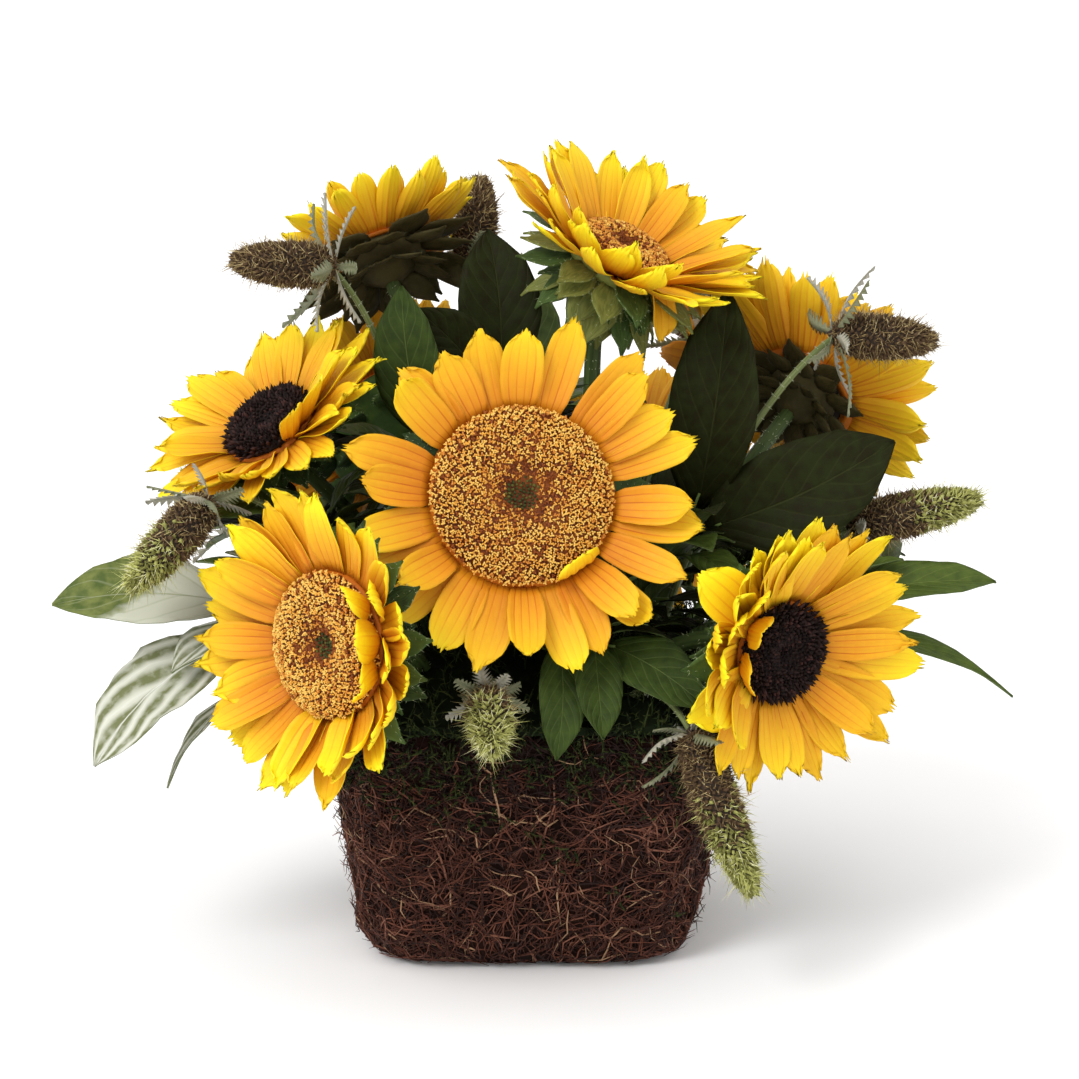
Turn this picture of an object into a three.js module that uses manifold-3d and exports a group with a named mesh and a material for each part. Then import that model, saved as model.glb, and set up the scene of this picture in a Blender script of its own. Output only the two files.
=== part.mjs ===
// A sunflower arrangement in a square basket of matted roots. Sunflowers, sea hollies and sprays
// of leaves stand in a mound of moss, over a block of wet foam inside the basket.
// Millimetres, +Z up, -Y towards the front, the origin in the middle of the flat underside.

import * as THREE from 'three';
import { mergeVertices } from 'three/addons/utils/BufferGeometryUtils.js';
import Module from 'manifold-3d';

const wasm = await Module();
wasm.setup();

// Driving dimensions

const GAP = 0.3;
const BASKET_HEIGHT = 96;
const BASKET_UNDERSIDE = 54; // half widths of the square plan, from the underside up to the rim
const BASKET_FOOT = 65;
const BASKET_RIM = 77;
const BASKET_WALL = 8;
const BASKET_SIDES = 20; // of the inside, the foam and the moss
const FOOT_HEIGHT = 12; // height up to which the foot is rounded
const EDGE = 4; // height of the outermost rounding at the foot and the rim
const CORNER_POWER = 5; // of the rounded square: higher is squarer
const TUFT = 2.6; // how far the roots' tufts stand out of the wall, or their hollows sink in
const TUFT_SIDES = 44; // of the wall's outside
const TUFT_ROWS = 6;
const FOAM_TOP = 88;
const MOSS_TOP = 120;
const STEM_FOOT = 95; // height at which every stem ends inside the moss
const STEM_RADIUS = 3.4;
const STEM_TAPER = 0.8;
const STEM_SIDES = 6;
const STEM_STEPS = 6;
const TWIG_RADIUS = 1.6; // of a sea holly's stem, and of a spray's
const TWIG_TAPER = 0.6;
const TWIG_SIDES = 3;
const HOLLY_STEPS = 7;
const SPRAY_STEPS = 5;
const SPRAY_TIP = 1.1; // radius of a spray's stem at its hub
const SOCKET_SLACK = 0.1; // added to the gap round a stem in the moss
const CUP_DEPTH = 13; // of the green cup behind a flower's disk
const CUP_SHOULDER = 7.5;
const CUP_EDGE = 4;
const HEAD_MARGIN = 2; // how far a flower's cup and ring reach beyond its disk
const RING_HEIGHT = 2; // of the ring that the petals grow from
const RING_WIDTH = 5;
const FLOWER_SIDES = 12;
const DISK_SHOULDER = 3.5; // heights of a disk over its ring: near its edge, at its crest and at its middle
const DISK_CREST = 6;
const DISK_DIP = 4;
const CREST_SHARE = 0.6; // of the disk's radius, where its crest and its cup's shoulder are
const OUTER_PETALS = 12;
const INNER_PETALS = 8;
const INNER_ROW = { shorter: 0.08, steeper: 14, higher: 0.3 };
const PETAL_SHARES = [0, 0.36, 0.76, 1]; // of its length, where a petal has these half widths and its tip
const PETAL_HALVES = [0.28, 0.94, 0.86];
const PETAL_WIDTH = 0.43; // of its length
const PETAL_KEEL = 1; // thickness of a petal under its flat top
const PETAL_ROOT = 0.4; // how far beyond the disk's edge a petal starts
const PETAL_SCATTER = { turn: 0.18, length: 0.08, width: 0.12, rise: 4, bend: 8, twist: 14 };
const PETAL_TRIES = [0, 14, -10, 28, 44, 60]; // degrees that a petal may bend more, to find room
const SEPALS = 8;
const SEPAL_LEVEL = -1.5; // height of their roots
const SEPAL_SLOPE = 6; // degrees that they droop at least
const SEPAL_SCATTER = { turn: 0.2, length: 0.12 };
const SEPAL_TRIES = [4, 18, 34, 52]; // degrees that a sepal may droop more, to find room
const BRACTS = 6;
const BRACT_LENGTH = 30;
const BRACT_ROOT = 1.6;
const BRACT_SCATTER = { turn: 0.3, length: 0.2, tilt: 8 };
const BRACT_TRIES = [18, 36, -4, 50]; // degrees that a bract may lean ahead, to find room
const CONE_RADIUS = 8;
const CONE_SIDES = 8;
const CONE_TOOTH = 0.25; // share of its radius by which every other corner of a cone stands out
const CONE_ROWS = [[0.07, 0.66], [0.32, 1], [0.62, 0.92], [0.88, 0.5]]; // shares of length and radius
const CONE_ROOT = 3; // how far a cone reaches back over its stem
const FILLER_LENGTH = 44; // of the leaves that a spray bears on its way up, besides its own
const FILLER_ROOT = 10; // length of their stalks
const FILLER_REACH = [0.5, 0.98]; // shares of the way up where they begin and end
const FILLER_CLIMB = 0.35;
const FILLER_SCATTER = { turn: 6, length: 0.25, climb: 0.5 };
const LEAF_ARCH = 0.09; // rise of a leaf's middle, as a share of its length
const FILLER_ARCH = 0.14;
const LEAF_ROWS = [[0, 0.12], [0.24, 0.8], [0.52, 1], [0.8, 0.62]]; // shares of length and half width
const FILLER_ROWS = [[0, 0.12], [0.45, 1]];
const GOLDEN_TURN = 2.39996;
// degrees by which a leaf may swing aside, round the upright and then over a level line, to find room
const SWINGS = [
  [0, 0], [8, 0], [-8, 0], [0, 8], [0, -8], [16, 0], [-16, 0], [0, 16], [0, -16], [26, 0], [-26, 0],
];
const SEEDS = { tufts: 600, flowers: 1, hollies: 2000, sprays: 3000 }; // first of each kind
const SEED_STEPS = { tufts: 60, flowers: 100, petals: 40, hollies: 20, sprays: 20 };

// at: middle of the disk's base; face: the way the flower looks; disk, span: radii; cup, bend: degrees that
// a petal rises at its root, and on to its tip; short: how much shorter the petals are towards short_at, and
// curl: how many degrees more they bend towards curl_at, both in degrees from the flower's own right
const FLOWERS = [
  { name: 'front', at: [-2, -62, 183], face: [0.1, -0.89, 0.45], disk: 33, span: 71, cup: 10, bend: 4,
    short: 0.14, short_at: 135, foot: [-4, -8], knee: [-6, 2, 142], neck: 22, sepal: 20, colour: 0xf5ac18 },
  { name: 'low_left', at: [-69, -100, 138], face: [-0.68, -0.72, 0.1], disk: 26, span: 62, cup: 15, bend: 10,
    short: 0.06, curl: 28, foot: [-36, -34], knee: [-38, -42, 122], neck: 18, sepal: 20, colour: 0xfac21c },
  { name: 'low_right', at: [91, -78, 130], face: [0.57, -0.82, -0.06], disk: 18, span: 54, cup: 16, bend: 0,
    short: -0.18, curl: 35, curl_at: 160, foot: [34, -32], knee: [38, -34, 118], neck: 20, sepal: 20,
    colour: 0xfac51e, dark: true },
  { name: 'mid_left', at: [-95, -20, 199], face: [-0.48, -0.38, 0.79], disk: 17, span: 53, cup: 12, bend: 0,
    foot: [-34, -6], knee: [-44, -2, 150], neck: 22, sepal: 18, colour: 0xf9bd1a, dark: true },
  { name: 'top_left', at: [-56, 43, 254], face: [-0.33, 0.6, 0.74], disk: 18, span: 48, cup: 20, bend: 4,
    foot: [-14, 16], knee: [-22, 18, 180], neck: 26, sepal: 28, colour: 0xfac21c },
  { name: 'top', at: [35, 5, 260], face: [0.42, -0.25, 0.87], disk: 18, span: 58, cup: 16, bend: 4,
    curl: 30, curl_at: 207, foot: [16, 10], knee: [30, 14, 190], neck: 22, sepal: 24, colour: 0xfabf1a },
  { name: 'right', at: [107, 39, 200], face: [0.49, 0.76, 0.44], disk: 20, span: 57, cup: 12, bend: 2,
    foot: [38, 4], knee: [60, 6, 150], neck: 24, sepal: 26, colour: 0xf5a818, dark: true },
  { name: 'back_left', at: [-55, 84, 176], face: [-0.45, 0.86, 0.25], disk: 26, span: 60, cup: 12, bend: 4,
    foot: [-24, 36], knee: [-26, 44, 138], neck: 20, sepal: 20, colour: 0xf5ac18 },
  { name: 'back_right', at: [46, 98, 146], face: [0.35, 0.93, 0.05], disk: 20, span: 58, cup: 14, bend: 4,
    foot: [20, 40], knee: [22, 48, 128], neck: 20, sepal: 20, colour: 0xfabf1a, dark: true },
];

// neck: where the cone joins its stem; axis: the way the cone points; via: the stem's last guide point;
// bract: length of its bracts, where it isn't BRACT_LENGTH
const HOLLIES = [
  { name: 'upper_left', neck: [-72, -12, 260], axis: [-0.97, -0.23, 0.09], cone: 38, foot: [-24, 2],
    knee: [-30, 2, 170], via: [-56, -6, 244] },
  { name: 'upper_right', neck: [116, 0, 232], axis: [0.99, -0.12, -0.05], cone: 38, foot: [46, -10],
    knee: [60, -12, 170], via: [98, -4, 221] },
  { name: 'mid_right', neck: [123, -5, 158], axis: [0.97, -0.04, 0.23], cone: 50, foot: [54, -16],
    knee: [66, -14, 125], via: [105, -6, 152], bract: 22 },
  { name: 'mid_left', neck: [-116, -62, 182], axis: [-0.63, -0.46, -0.63], cone: 44, foot: [-48, -24],
    knee: [-60, -38, 150], via: [-104, -46, 194], bract: 24 },
  { name: 'low_front', neck: [-14, -84, 114], axis: [0.05, -0.94, -0.33], cone: 34, foot: [-10, -52],
    knee: [-12, -58, 118], via: [-14, -74, 118], bract: 18 },
  { name: 'low_right', neck: [60, -88, 101], axis: [0.35, -0.34, -0.87], cone: 62, foot: [34, -54],
    knee: [40, -64, 120], via: [54, -82, 114], bract: 24 },
  { name: 'top_middle', neck: [-22, 60, 246], axis: [0.1, 0.24, 0.97], cone: 36, foot: [2, 30],
    knee: [-2, 38, 160], via: [-20, 57, 222] },
  { name: 'back_left', neck: [-105, 60, 150], axis: [-0.8, 0.5, 0.2], cone: 40, foot: [-44, 24],
    knee: [-56, 30, 125], via: [-88, 50, 142] },
  { name: 'back_right', neck: [66, 92, 212], axis: [0.25, 0.75, 0.6], cone: 40, foot: [36, 26],
    knee: [38, 48, 150], via: [60, 76, 198] },
];

// hub: where a spray's leaves part; each leaf runs from its root to its tip, with its top side facing top;
// fillers: how many plain leaves the spray bears on its way up
const SPRAYS = [
  { name: 'left', foot: [-50, -8], knee: [-58, -12, 118], hub: [-92, -32, 126], fillers: 3, leaves: [
    { root: [-110, -42, 138], tip: [-176, -52, 140], wide: 33, top: [0.1, -0.6, 0.8] },
    { root: [-108, -45, 124], tip: [-160, -70, 83], wide: 37, top: [-0.5, -0.6, 0.6] },
    { root: [-106, -42, 104], tip: [-134, -62, 72], wide: 11, top: [-0.5, -0.3, 0.4] }] },
  { name: 'mid_left', foot: [-54, 4], knee: [-62, -4, 130], hub: [-84, -36, 168], fillers: 4, leaves: [
    { root: [-90, -42, 176], tip: [-118, -52, 172], wide: 18, top: [0, -0.6, 0.8] },
    { root: [-92, -20, 168], tip: [-128, 30, 176], wide: 30, top: [-0.5, 0, 0.8] }] },
  { name: 'upper_left', foot: [-26, -16], knee: [-30, -18, 150], hub: [-38, -10, 186], fillers: 5, leaves: [
    { root: [-41, -8, 194], tip: [-63, 2, 246], wide: 26, top: [-0.2, -0.95, 0.2] }] },
  { name: 'upper_middle', foot: [2, 12], knee: [0, 12, 160], hub: [-8, 12, 204], fillers: 6, leaves: [
    { root: [-10, 12, 212], tip: [-15, 28, 267], wide: 32, top: [0, -0.95, 0.3] }] },
  { name: 'upper_right', foot: [30, -12], knee: [36, -14, 130], hub: [58, -12, 156], fillers: 4, leaves: [
    { root: [66, -8, 165], tip: [87, 6, 245], wide: 36, top: [-0.4, -0.9, 0.1] },
    { root: [68, -16, 160], tip: [139, -12, 193], wide: 40, top: [0.2, -0.9, 0.4] }] },
  { name: 'right', foot: [54, -30], knee: [66, -32, 112], hub: [104, -30, 126], fillers: 3, leaves: [
    { root: [116, -28, 136], tip: [177, -26, 142], wide: 20, top: [0, -0.5, 0.85] },
    { root: [122, -34, 124], tip: [183, -40, 101], wide: 12, top: [0, -0.4, 0.9] },
    { root: [112, -16, 136], tip: [150, 32, 150], wide: 30, top: [0.5, 0, 0.8] }] },
  { name: 'low_front', foot: [14, -42], knee: [16, -46, 124], hub: [18, -58, 130], fillers: 3, leaves: [
    { root: [12, -68, 130], tip: [11, -92, 92], wide: 18, top: [0.1, -0.9, 0.4] },
    { root: [25, -68, 130], tip: [28, -92, 100], wide: 18, top: [0.2, -0.9, 0.4] },
    { root: [30, -64, 128], tip: [66, -86, 110], wide: 24, top: [0.2, -0.8, 0.6] }] },
  { name: 'back_left', foot: [-50, 44], knee: [-60, 56, 122], hub: [-84, 72, 130], fillers: 4, leaves: [
    { root: [-92, 76, 136], tip: [-150, 96, 128], wide: 28, top: [0, 0.5, 0.85] },
    { root: [-80, 86, 122], tip: [-92, 136, 100], wide: 26, top: [0, 0.5, 0.8] },
    { root: [-96, 62, 138], tip: [-146, 44, 158], wide: 28, top: [-0.3, 0, 0.9] }] },
  { name: 'back_middle', foot: [0, 52], knee: [0, 60, 140], hub: [-2, 72, 166], fillers: 6, leaves: [
    { root: [-6, 82, 160], tip: [-14, 134, 132], wide: 28, top: [0, 0.6, 0.8] },
    { root: [2, 76, 176], tip: [4, 92, 236], wide: 28, top: [0, 0.95, -0.2] }] },
  { name: 'back_right', foot: [54, 34], knee: [66, 40, 120], hub: [98, 56, 132], fillers: 4, leaves: [
    { root: [106, 58, 138], tip: [168, 62, 144], wide: 28, top: [0, 0.4, 0.9] },
    { root: [102, 66, 126], tip: [142, 108, 104], wide: 26, top: [0.2, 0.5, 0.8] },
    { root: [108, 62, 142], tip: [152, 84, 164], wide: 28, top: [0.2, 0.3, 0.9] }] },
];

// Numbers and vectors

const vec = (xyz) => new THREE.Vector3(...xyz);
const rad = THREE.MathUtils.degToRad;
const { lerp } = THREE.MathUtils;

function random(seed) {
  const wave = Math.sin(seed * 12.9898) * 43758.5453;
  return wave - Math.floor(wave);
}

const spread = (seed) => 2 * random(seed) - 1;

function frameAt(at, face) {
  const ahead = vec(face).normalize();
  const right = new THREE.Vector3(0, 0, 1).cross(ahead).normalize();
  const up = ahead.clone().cross(right);
  return new THREE.Matrix4().makeBasis(right, up, ahead).setPosition(...at);
}

// Solids: closed meshes that can be joined, cut and tested

function solidOf(geometry) {
  const bare = geometry.clone();
  bare.deleteAttribute('normal');
  bare.deleteAttribute('uv');
  const merged = mergeVertices(bare, 1e-4);
  const spots = merged.attributes.position.array;
  const corners = [];
  for (let i = 0; i < merged.index.count; i += 3) {
    const [a, b, c] = [0, 1, 2].map((k) => merged.index.getX(i + k));
    if (a !== b && b !== c && c !== a) corners.push(a, b, c);
  }
  return new wasm.Manifold(new wasm.Mesh({
    numProp: 3,
    vertProperties: new Float32Array(spots),
    triVerts: new Uint32Array(corners),
  }));
}

function geometryOf(solid) {
  const { vertProperties, triVerts } = solid.getMesh();
  const geometry = new THREE.BufferGeometry();
  geometry.setAttribute('position', new THREE.BufferAttribute(vertProperties, 3));
  geometry.setIndex(new THREE.BufferAttribute(triVerts, 1));
  geometry.computeVertexNormals();
  return geometry;
}

// Skin over rings of points, anticlockwise as the last ring sees them. A ring of one point is a tip.
function loft(rings) {
  const points = rings.flat();
  const corners = [];
  let first = 0;
  for (let k = 0; k + 1 < rings.length; k += 1) {
    const [here, next] = [rings[k].length, rings[k + 1].length];
    const above = first + here;
    for (let i = 0; i < Math.max(here, next); i += 1) {
      const j = i + 1;
      if (here > 1) corners.push(first + i, first + (j % here), above + (next > 1 ? j % next : 0));
      if (next > 1) corners.push(first + (here > 1 ? i : 0), above + (j % next), above + i);
    }
    first = above;
  }
  const last = rings.at(-1).length;
  for (let i = 1; i + 1 < rings[0].length; i += 1) corners.push(0, i + 1, i);
  for (let i = 1; i + 1 < last; i += 1) corners.push(first, first + i, first + i + 1);
  const geometry = new THREE.BufferGeometry().setFromPoints(points);
  geometry.setIndex(corners);
  return solidOf(geometry);
}

// A profile of radius and height, turned round +Z
function turned(profile, sides) {
  const lathe = new THREE.LatheGeometry(profile.map(([r, z]) => new THREE.Vector2(r, z)), sides);
  return solidOf(lathe.rotateX(Math.PI / 2));
}

function ringOf(centre, across, over, radius, sides) {
  return Array.from({ length: sides }, (_, i) => {
    const turn = (2 * Math.PI * i) / sides;
    return centre.clone()
      .addScaledVector(across, radius * Math.cos(turn))
      .addScaledVector(over, radius * Math.sin(turn));
  });
}

// A tapering round limb along a curve, with more added to its radius and to both ends
function limb(curve, thick, thin, sides, steps, more = 0) {
  const { tangents, normals, binormals } = curve.computeFrenetFrames(steps, false);
  const rings = tangents.map((tangent, k) => {
    const ends = k === 0 ? -more : k === steps ? more : 0;
    const centre = curve.getPoint(k / steps).addScaledVector(tangent, ends);
    const radius = lerp(thick, thin, k / steps) + more;
    return ringOf(centre, normals[k], binormals[k], radius, sides);
  });
  return loft(rings);
}

// A thin blade with a flat top and a keel. Each station has a middle, a side and a top direction, half its
// width, how far its edges rise and how deep its keel is.
function blade(stations, tip) {
  const rings = stations.map(({ mid, side, top, half, rise, keel }) => [
    mid.clone().addScaledVector(side, half).addScaledVector(top, rise),
    mid.clone().addScaledVector(side, -half).addScaledVector(top, rise),
    mid.clone().addScaledVector(top, -keel),
  ]);
  return loft([...rings, [tip]]);
}

const join = (solids) => solids.reduce((whole, piece) => whole.add(piece));

// What already stands, and what has room beside it

const standing = [];

function stand(solid) {
  const { min, max } = solid.boundingBox();
  standing.push({ solid, box: new THREE.Box3(vec(min), vec(max)).expandByScalar(GAP) });
}

function hasRoom(solid) {
  const { min, max } = solid.boundingBox();
  const box = new THREE.Box3(vec(min), vec(max));
  return standing.every((other) => !other.box.intersectsBox(box) || solid.minGap(other.solid, 2 * GAP) > GAP);
}

// What grows starts inside its own piece, so that piece is left out of the test meanwhile
function besideOwn(own, grow) {
  const others = standing.filter(({ solid }) => !own.includes(solid));
  const kept = standing.splice(0, standing.length, ...others);
  const grown = grow();
  standing.splice(0, standing.length, ...kept);
  return grown;
}

const model = new THREE.Group();
model.name = 'sunflower_arrangement';
model.userData.leftOut = [];

function addMesh(parent, name, solid, colour, roughness = 0.7) {
  const material = new THREE.MeshStandardMaterial({ color: colour, roughness, metalness: 0 });
  const mesh = new THREE.Mesh(geometryOf(solid), material);
  mesh.name = name;
  parent.add(mesh);
}

// Basket, foam and moss

// A rounded square, with relief added to the reach of each of its points
function squareRing(half, z, sides = BASKET_SIDES, relief = () => 0) {
  return Array.from({ length: sides }, (_, i) => {
    const turn = (2 * Math.PI * i) / sides;
    const [c, s] = [Math.cos(turn), Math.sin(turn)];
    const corner = (Math.abs(c) ** CORNER_POWER + Math.abs(s) ** CORNER_POWER) ** (1 / CORNER_POWER);
    const reach = half / corner + relief(i);
    return new THREE.Vector3(reach * c, reach * s, z);
  });
}

const wallAt = (z) => THREE.MathUtils.mapLinear(z, FOOT_HEIGHT, BASKET_HEIGHT, BASKET_FOOT, BASKET_RIM);
const insideAt = (z) => wallAt(z) - BASKET_WALL;
const tuftAt = (row) => (i) => TUFT * spread(SEEDS.tufts + SEED_STEPS.tufts * row + i);

const tuftedWall = Array.from({ length: TUFT_ROWS }, (_, row) => {
  const z = lerp(FOOT_HEIGHT, BASKET_HEIGHT - EDGE, row / (TUFT_ROWS - 1));
  return squareRing(wallAt(z), z, TUFT_SIDES, tuftAt(row));
});

const outside = loft([
  squareRing(BASKET_UNDERSIDE, 0, TUFT_SIDES),
  squareRing(BASKET_FOOT - 3, EDGE, TUFT_SIDES),
  ...tuftedWall,
  squareRing(BASKET_RIM - 3, BASKET_HEIGHT, TUFT_SIDES),
]);

const inside = loft([
  squareRing(insideAt(BASKET_WALL) - 4, BASKET_WALL),
  squareRing(insideAt(2 * BASKET_WALL), 2 * BASKET_WALL),
  squareRing(insideAt(BASKET_HEIGHT - 6), BASKET_HEIGHT - 6),
  squareRing(insideAt(BASKET_HEIGHT) + 1, BASKET_HEIGHT + 1),
]);

const basket = outside.subtract(inside);

const foam = loft([
  squareRing(insideAt(BASKET_WALL) - 5, BASKET_WALL + GAP),
  squareRing(insideAt(2 * BASKET_WALL) - 2 * GAP, 2 * BASKET_WALL + 1),
  squareRing(insideAt(FOAM_TOP) - 2 * GAP, FOAM_TOP),
]);

let moss = loft([
  squareRing(insideAt(FOAM_TOP) - 1, FOAM_TOP + GAP),
  squareRing(insideAt(BASKET_HEIGHT - 6) - 1, BASKET_HEIGHT - 4),
  squareRing(insideAt(BASKET_HEIGHT) - 1, BASKET_HEIGHT + 2 * GAP),
  squareRing(BASKET_RIM - 1, BASKET_HEIGHT + 2 * GAP),
  squareRing(BASKET_RIM, BASKET_HEIGHT + 4),
  squareRing(BASKET_RIM - 9, MOSS_TOP - 12),
  squareRing(BASKET_RIM - 28, MOSS_TOP - 4),
  [new THREE.Vector3(0, 0, MOSS_TOP)],
]);

addMesh(model, 'basket_wall', basket, 0x4a2a1c, 0.95);
addMesh(model, 'foam_block', foam, 0x2f5a34, 0.95);
stand(basket);
stand(foam);

// Every stem stands in its own socket in the moss
function plantStem(foot, knee, via, end, thick, thin, sides, steps) {
  const curve = new THREE.CubicBezierCurve3(vec([...foot, STEM_FOOT]), vec(knee), vec(via), vec(end));
  const clearance = GAP / Math.cos(Math.PI / sides) + SOCKET_SLACK;
  moss = moss.subtract(limb(curve, thick, thin, sides, steps, clearance));
  return { curve, stem: limb(curve, thick, thin, sides, steps) };
}

// Sunflowers

// A petal in its flower's own frame: it starts on the ring and bends along its length
function petalAt(flower, row, turn, length, wide, rise, bend, twist) {
  const out = new THREE.Vector3(Math.cos(turn), Math.sin(turn), 0);
  const along = new THREE.Vector3(-Math.sin(turn), Math.cos(turn), 0);
  const ahead = new THREE.Vector3(0, 0, 1);
  const spot = out.clone().multiplyScalar(flower.disk + PETAL_ROOT);
  spot.z = 3 * GAP + INNER_ROW.higher * row;
  const stations = PETAL_SHARES.map((share, k) => {
    if (k > 0) {
      const middle = rad(rise + bend * 0.5 * (share + PETAL_SHARES[k - 1]));
      const step = length * (share - PETAL_SHARES[k - 1]);
      spot.addScaledVector(out, Math.cos(middle) * step).addScaledVector(ahead, Math.sin(middle) * step);
    }
    const slope = rad(rise + bend * share);
    const over = ahead.clone().multiplyScalar(Math.cos(slope)).addScaledVector(out, -Math.sin(slope));
    const roll = rad(twist * share);
    return {
      mid: spot.clone(),
      side: along.clone().multiplyScalar(Math.cos(roll)).addScaledVector(over, Math.sin(roll)),
      top: over.clone().multiplyScalar(Math.cos(roll)).addScaledVector(along, -Math.sin(roll)),
      half: 0.5 * wide * (PETAL_HALVES[k] ?? 0),
      rise: k === 0 ? 0.2 : 0.5,
      keel: k === 0 ? 0.4 : PETAL_KEEL,
    };
  });
  const tip = stations.pop();
  return blade(stations, tip.mid.addScaledVector(tip.top, 0.3));
}

function growPetals(flower, seed, ring, frame) {
  const scatter = PETAL_SCATTER;
  const petals = [];
  for (const row of [0, 1]) {
    const count = row === 0 ? OUTER_PETALS : INNER_PETALS;
    for (let i = 0; i < count; i += 1) {
      const key = seed + SEED_STEPS.petals * row + i;
      const turn = (2 * Math.PI * (i + 0.5 - 0.5 * row + scatter.turn * spread(key + 0.1))) / count;
      const cut = 1 - (flower.short ?? 0) * Math.max(0, Math.cos(turn - rad(flower.short_at ?? 0)));
      const curl = (flower.curl ?? 0) * Math.max(0, Math.cos(turn - rad(flower.curl_at ?? 0)));
      const reach = flower.span - flower.disk;
      const length = reach * (1 - INNER_ROW.shorter * row) * cut * (1 + scatter.length * spread(key + 0.2));
      const wide = PETAL_WIDTH * reach * (1 + scatter.width * spread(key + 0.3));
      const rise = flower.cup + INNER_ROW.steeper * row + scatter.rise * spread(key + 0.4);
      const bend = flower.bend + curl + scatter.bend * spread(key + 0.5);
      const twist = scatter.twist * spread(key + 0.6);
      const tries = PETAL_TRIES.map((more) => (
        petalAt(flower, row, turn, length, wide, rise + more * 0.5, bend + more, twist)));
      const petal = tries.find((solid) => hasRoom(solid.transform(frame.elements)));
      if (petal) petals.push(petal);
      else model.userData.leftOut.push(`${flower.name} petal ${row}.${i}`);
    }
  }
  return join([ring, ...petals]);
}

function sepalAt(flower, turn, length, droop) {
  const out = new THREE.Vector3(Math.cos(turn), Math.sin(turn), 0);
  const along = new THREE.Vector3(-Math.sin(turn), Math.cos(turn), 0);
  const top = new THREE.Vector3(0, 0, 1);
  const onFrom = (spot, slope) => spot.clone()
    .addScaledVector(out, length * 0.5 * Math.cos(slope))
    .addScaledVector(top, length * 0.5 * Math.sin(slope));
  const root = out.clone().multiplyScalar(flower.disk).setZ(SEPAL_LEVEL);
  const belly = onFrom(root, rad(-SEPAL_SLOPE - 0.4 * droop));
  const tip = onFrom(belly, rad(-SEPAL_SLOPE - droop));
  return blade([
    { mid: root, side: along, top, half: 0.15 * length, rise: 0.3, keel: 0.6 },
    { mid: belly, side: along, top, half: 0.3 * length, rise: 0.3, keel: 0.8 },
  ], tip);
}

function growSepals(flower, seed, cup, frame) {
  const sepals = [];
  for (let i = 0; i < SEPALS; i += 1) {
    const turn = (2 * Math.PI * (i + SEPAL_SCATTER.turn * spread(seed + i + 0.7))) / SEPALS;
    const length = flower.sepal * (1 + SEPAL_SCATTER.length * spread(seed + i + 0.8));
    const tries = SEPAL_TRIES.map((droop) => sepalAt(flower, turn, length, droop));
    const sepal = tries.find((solid) => hasRoom(solid.transform(frame.elements)));
    if (sepal) sepals.push(sepal);
    else model.userData.leftOut.push(`${flower.name} sepal ${i}`);
  }
  return join([cup, ...sepals]);
}

function cupOf({ disk }) {
  const edge = disk + HEAD_MARGIN;
  return turned([
    [0, -CUP_DEPTH], [STEM_RADIUS, -CUP_DEPTH], [disk * CREST_SHARE, -CUP_SHOULDER], [edge, -CUP_EDGE],
    [edge, 0], [0, 0],
  ], FLOWER_SIDES);
}

function ringOfPetals({ disk }) {
  const outer = disk + HEAD_MARGIN;
  const inner = outer - RING_WIDTH;
  const [low, high] = [GAP, GAP + RING_HEIGHT];
  return turned([[inner, low], [outer, low], [outer, high], [inner, high], [inner, low]], FLOWER_SIDES);
}

function diskOf({ disk }) {
  const neck = disk + HEAD_MARGIN - RING_WIDTH - 0.4;
  const rim = 2 * GAP + RING_HEIGHT;
  return turned([
    [0, GAP], [neck, GAP], [neck, rim], [disk - 0.2, rim], [disk - 1.2, rim + DISK_SHOULDER],
    [disk * CREST_SHARE, rim + DISK_CREST], [0, rim + DISK_DIP],
  ], FLOWER_SIDES);
}

const flowers = FLOWERS.map((flower, k) => {
  const ahead = vec(flower.face).normalize();
  const end = vec(flower.at).addScaledVector(ahead, -CUP_DEPTH - GAP);
  const via = end.clone().addScaledVector(ahead, -flower.neck);
  const { stem } = plantStem(
    flower.foot, flower.knee, via, end, STEM_RADIUS, STEM_RADIUS * STEM_TAPER, STEM_SIDES, STEM_STEPS);
  return {
    flower,
    stem,
    frame: frameAt(flower.at, flower.face),
    seed: SEEDS.flowers + SEED_STEPS.flowers * k,
    cup: cupOf(flower),
    ring: ringOfPetals(flower),
    disk: diskOf(flower),
  };
});

for (const each of flowers) {
  const { elements } = each.frame;
  each.placedCup = each.cup.transform(elements);
  each.placedRing = each.ring.transform(elements);
  [each.stem, each.placedCup, each.placedRing, each.disk.transform(elements)].forEach(stand);
}

// Sea hollies: a stem, a ruff of narrow bracts and a bristly cone

function coneOf(length) {
  const rings = CONE_ROWS.map(([share, wide], k) => Array.from({ length: CONE_SIDES }, (_, i) => {
    const turn = (2 * Math.PI * i) / CONE_SIDES;
    const tooth = (i + k) % 2 === 0;
    const reach = CONE_RADIUS * wide * (tooth ? 1 + CONE_TOOTH : 1 - CONE_TOOTH);
    const z = length * (tooth ? share + 0.05 : share);
    return new THREE.Vector3(reach * Math.cos(turn), reach * Math.sin(turn), z);
  }));
  return loft([[new THREE.Vector3(0, 0, -CONE_ROOT)], ...rings, [new THREE.Vector3(0, 0, length)]]);
}

function bractAt(turn, length, tilt) {
  const side = new THREE.Vector3(-Math.sin(turn), Math.cos(turn), 0);
  const out = new THREE.Vector3(Math.cos(turn), Math.sin(turn), Math.tan(tilt)).normalize();
  const top = out.clone().cross(side);
  const spot = (reach) => out.clone().multiplyScalar(reach);
  return blade([
    { mid: spot(BRACT_ROOT), side, top, half: 0.5, rise: 0.2, keel: 0.6 },
    { mid: spot(0.4 * length), side, top, half: 2, rise: 0.2, keel: 0.7 },
  ], spot(length));
}

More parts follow.
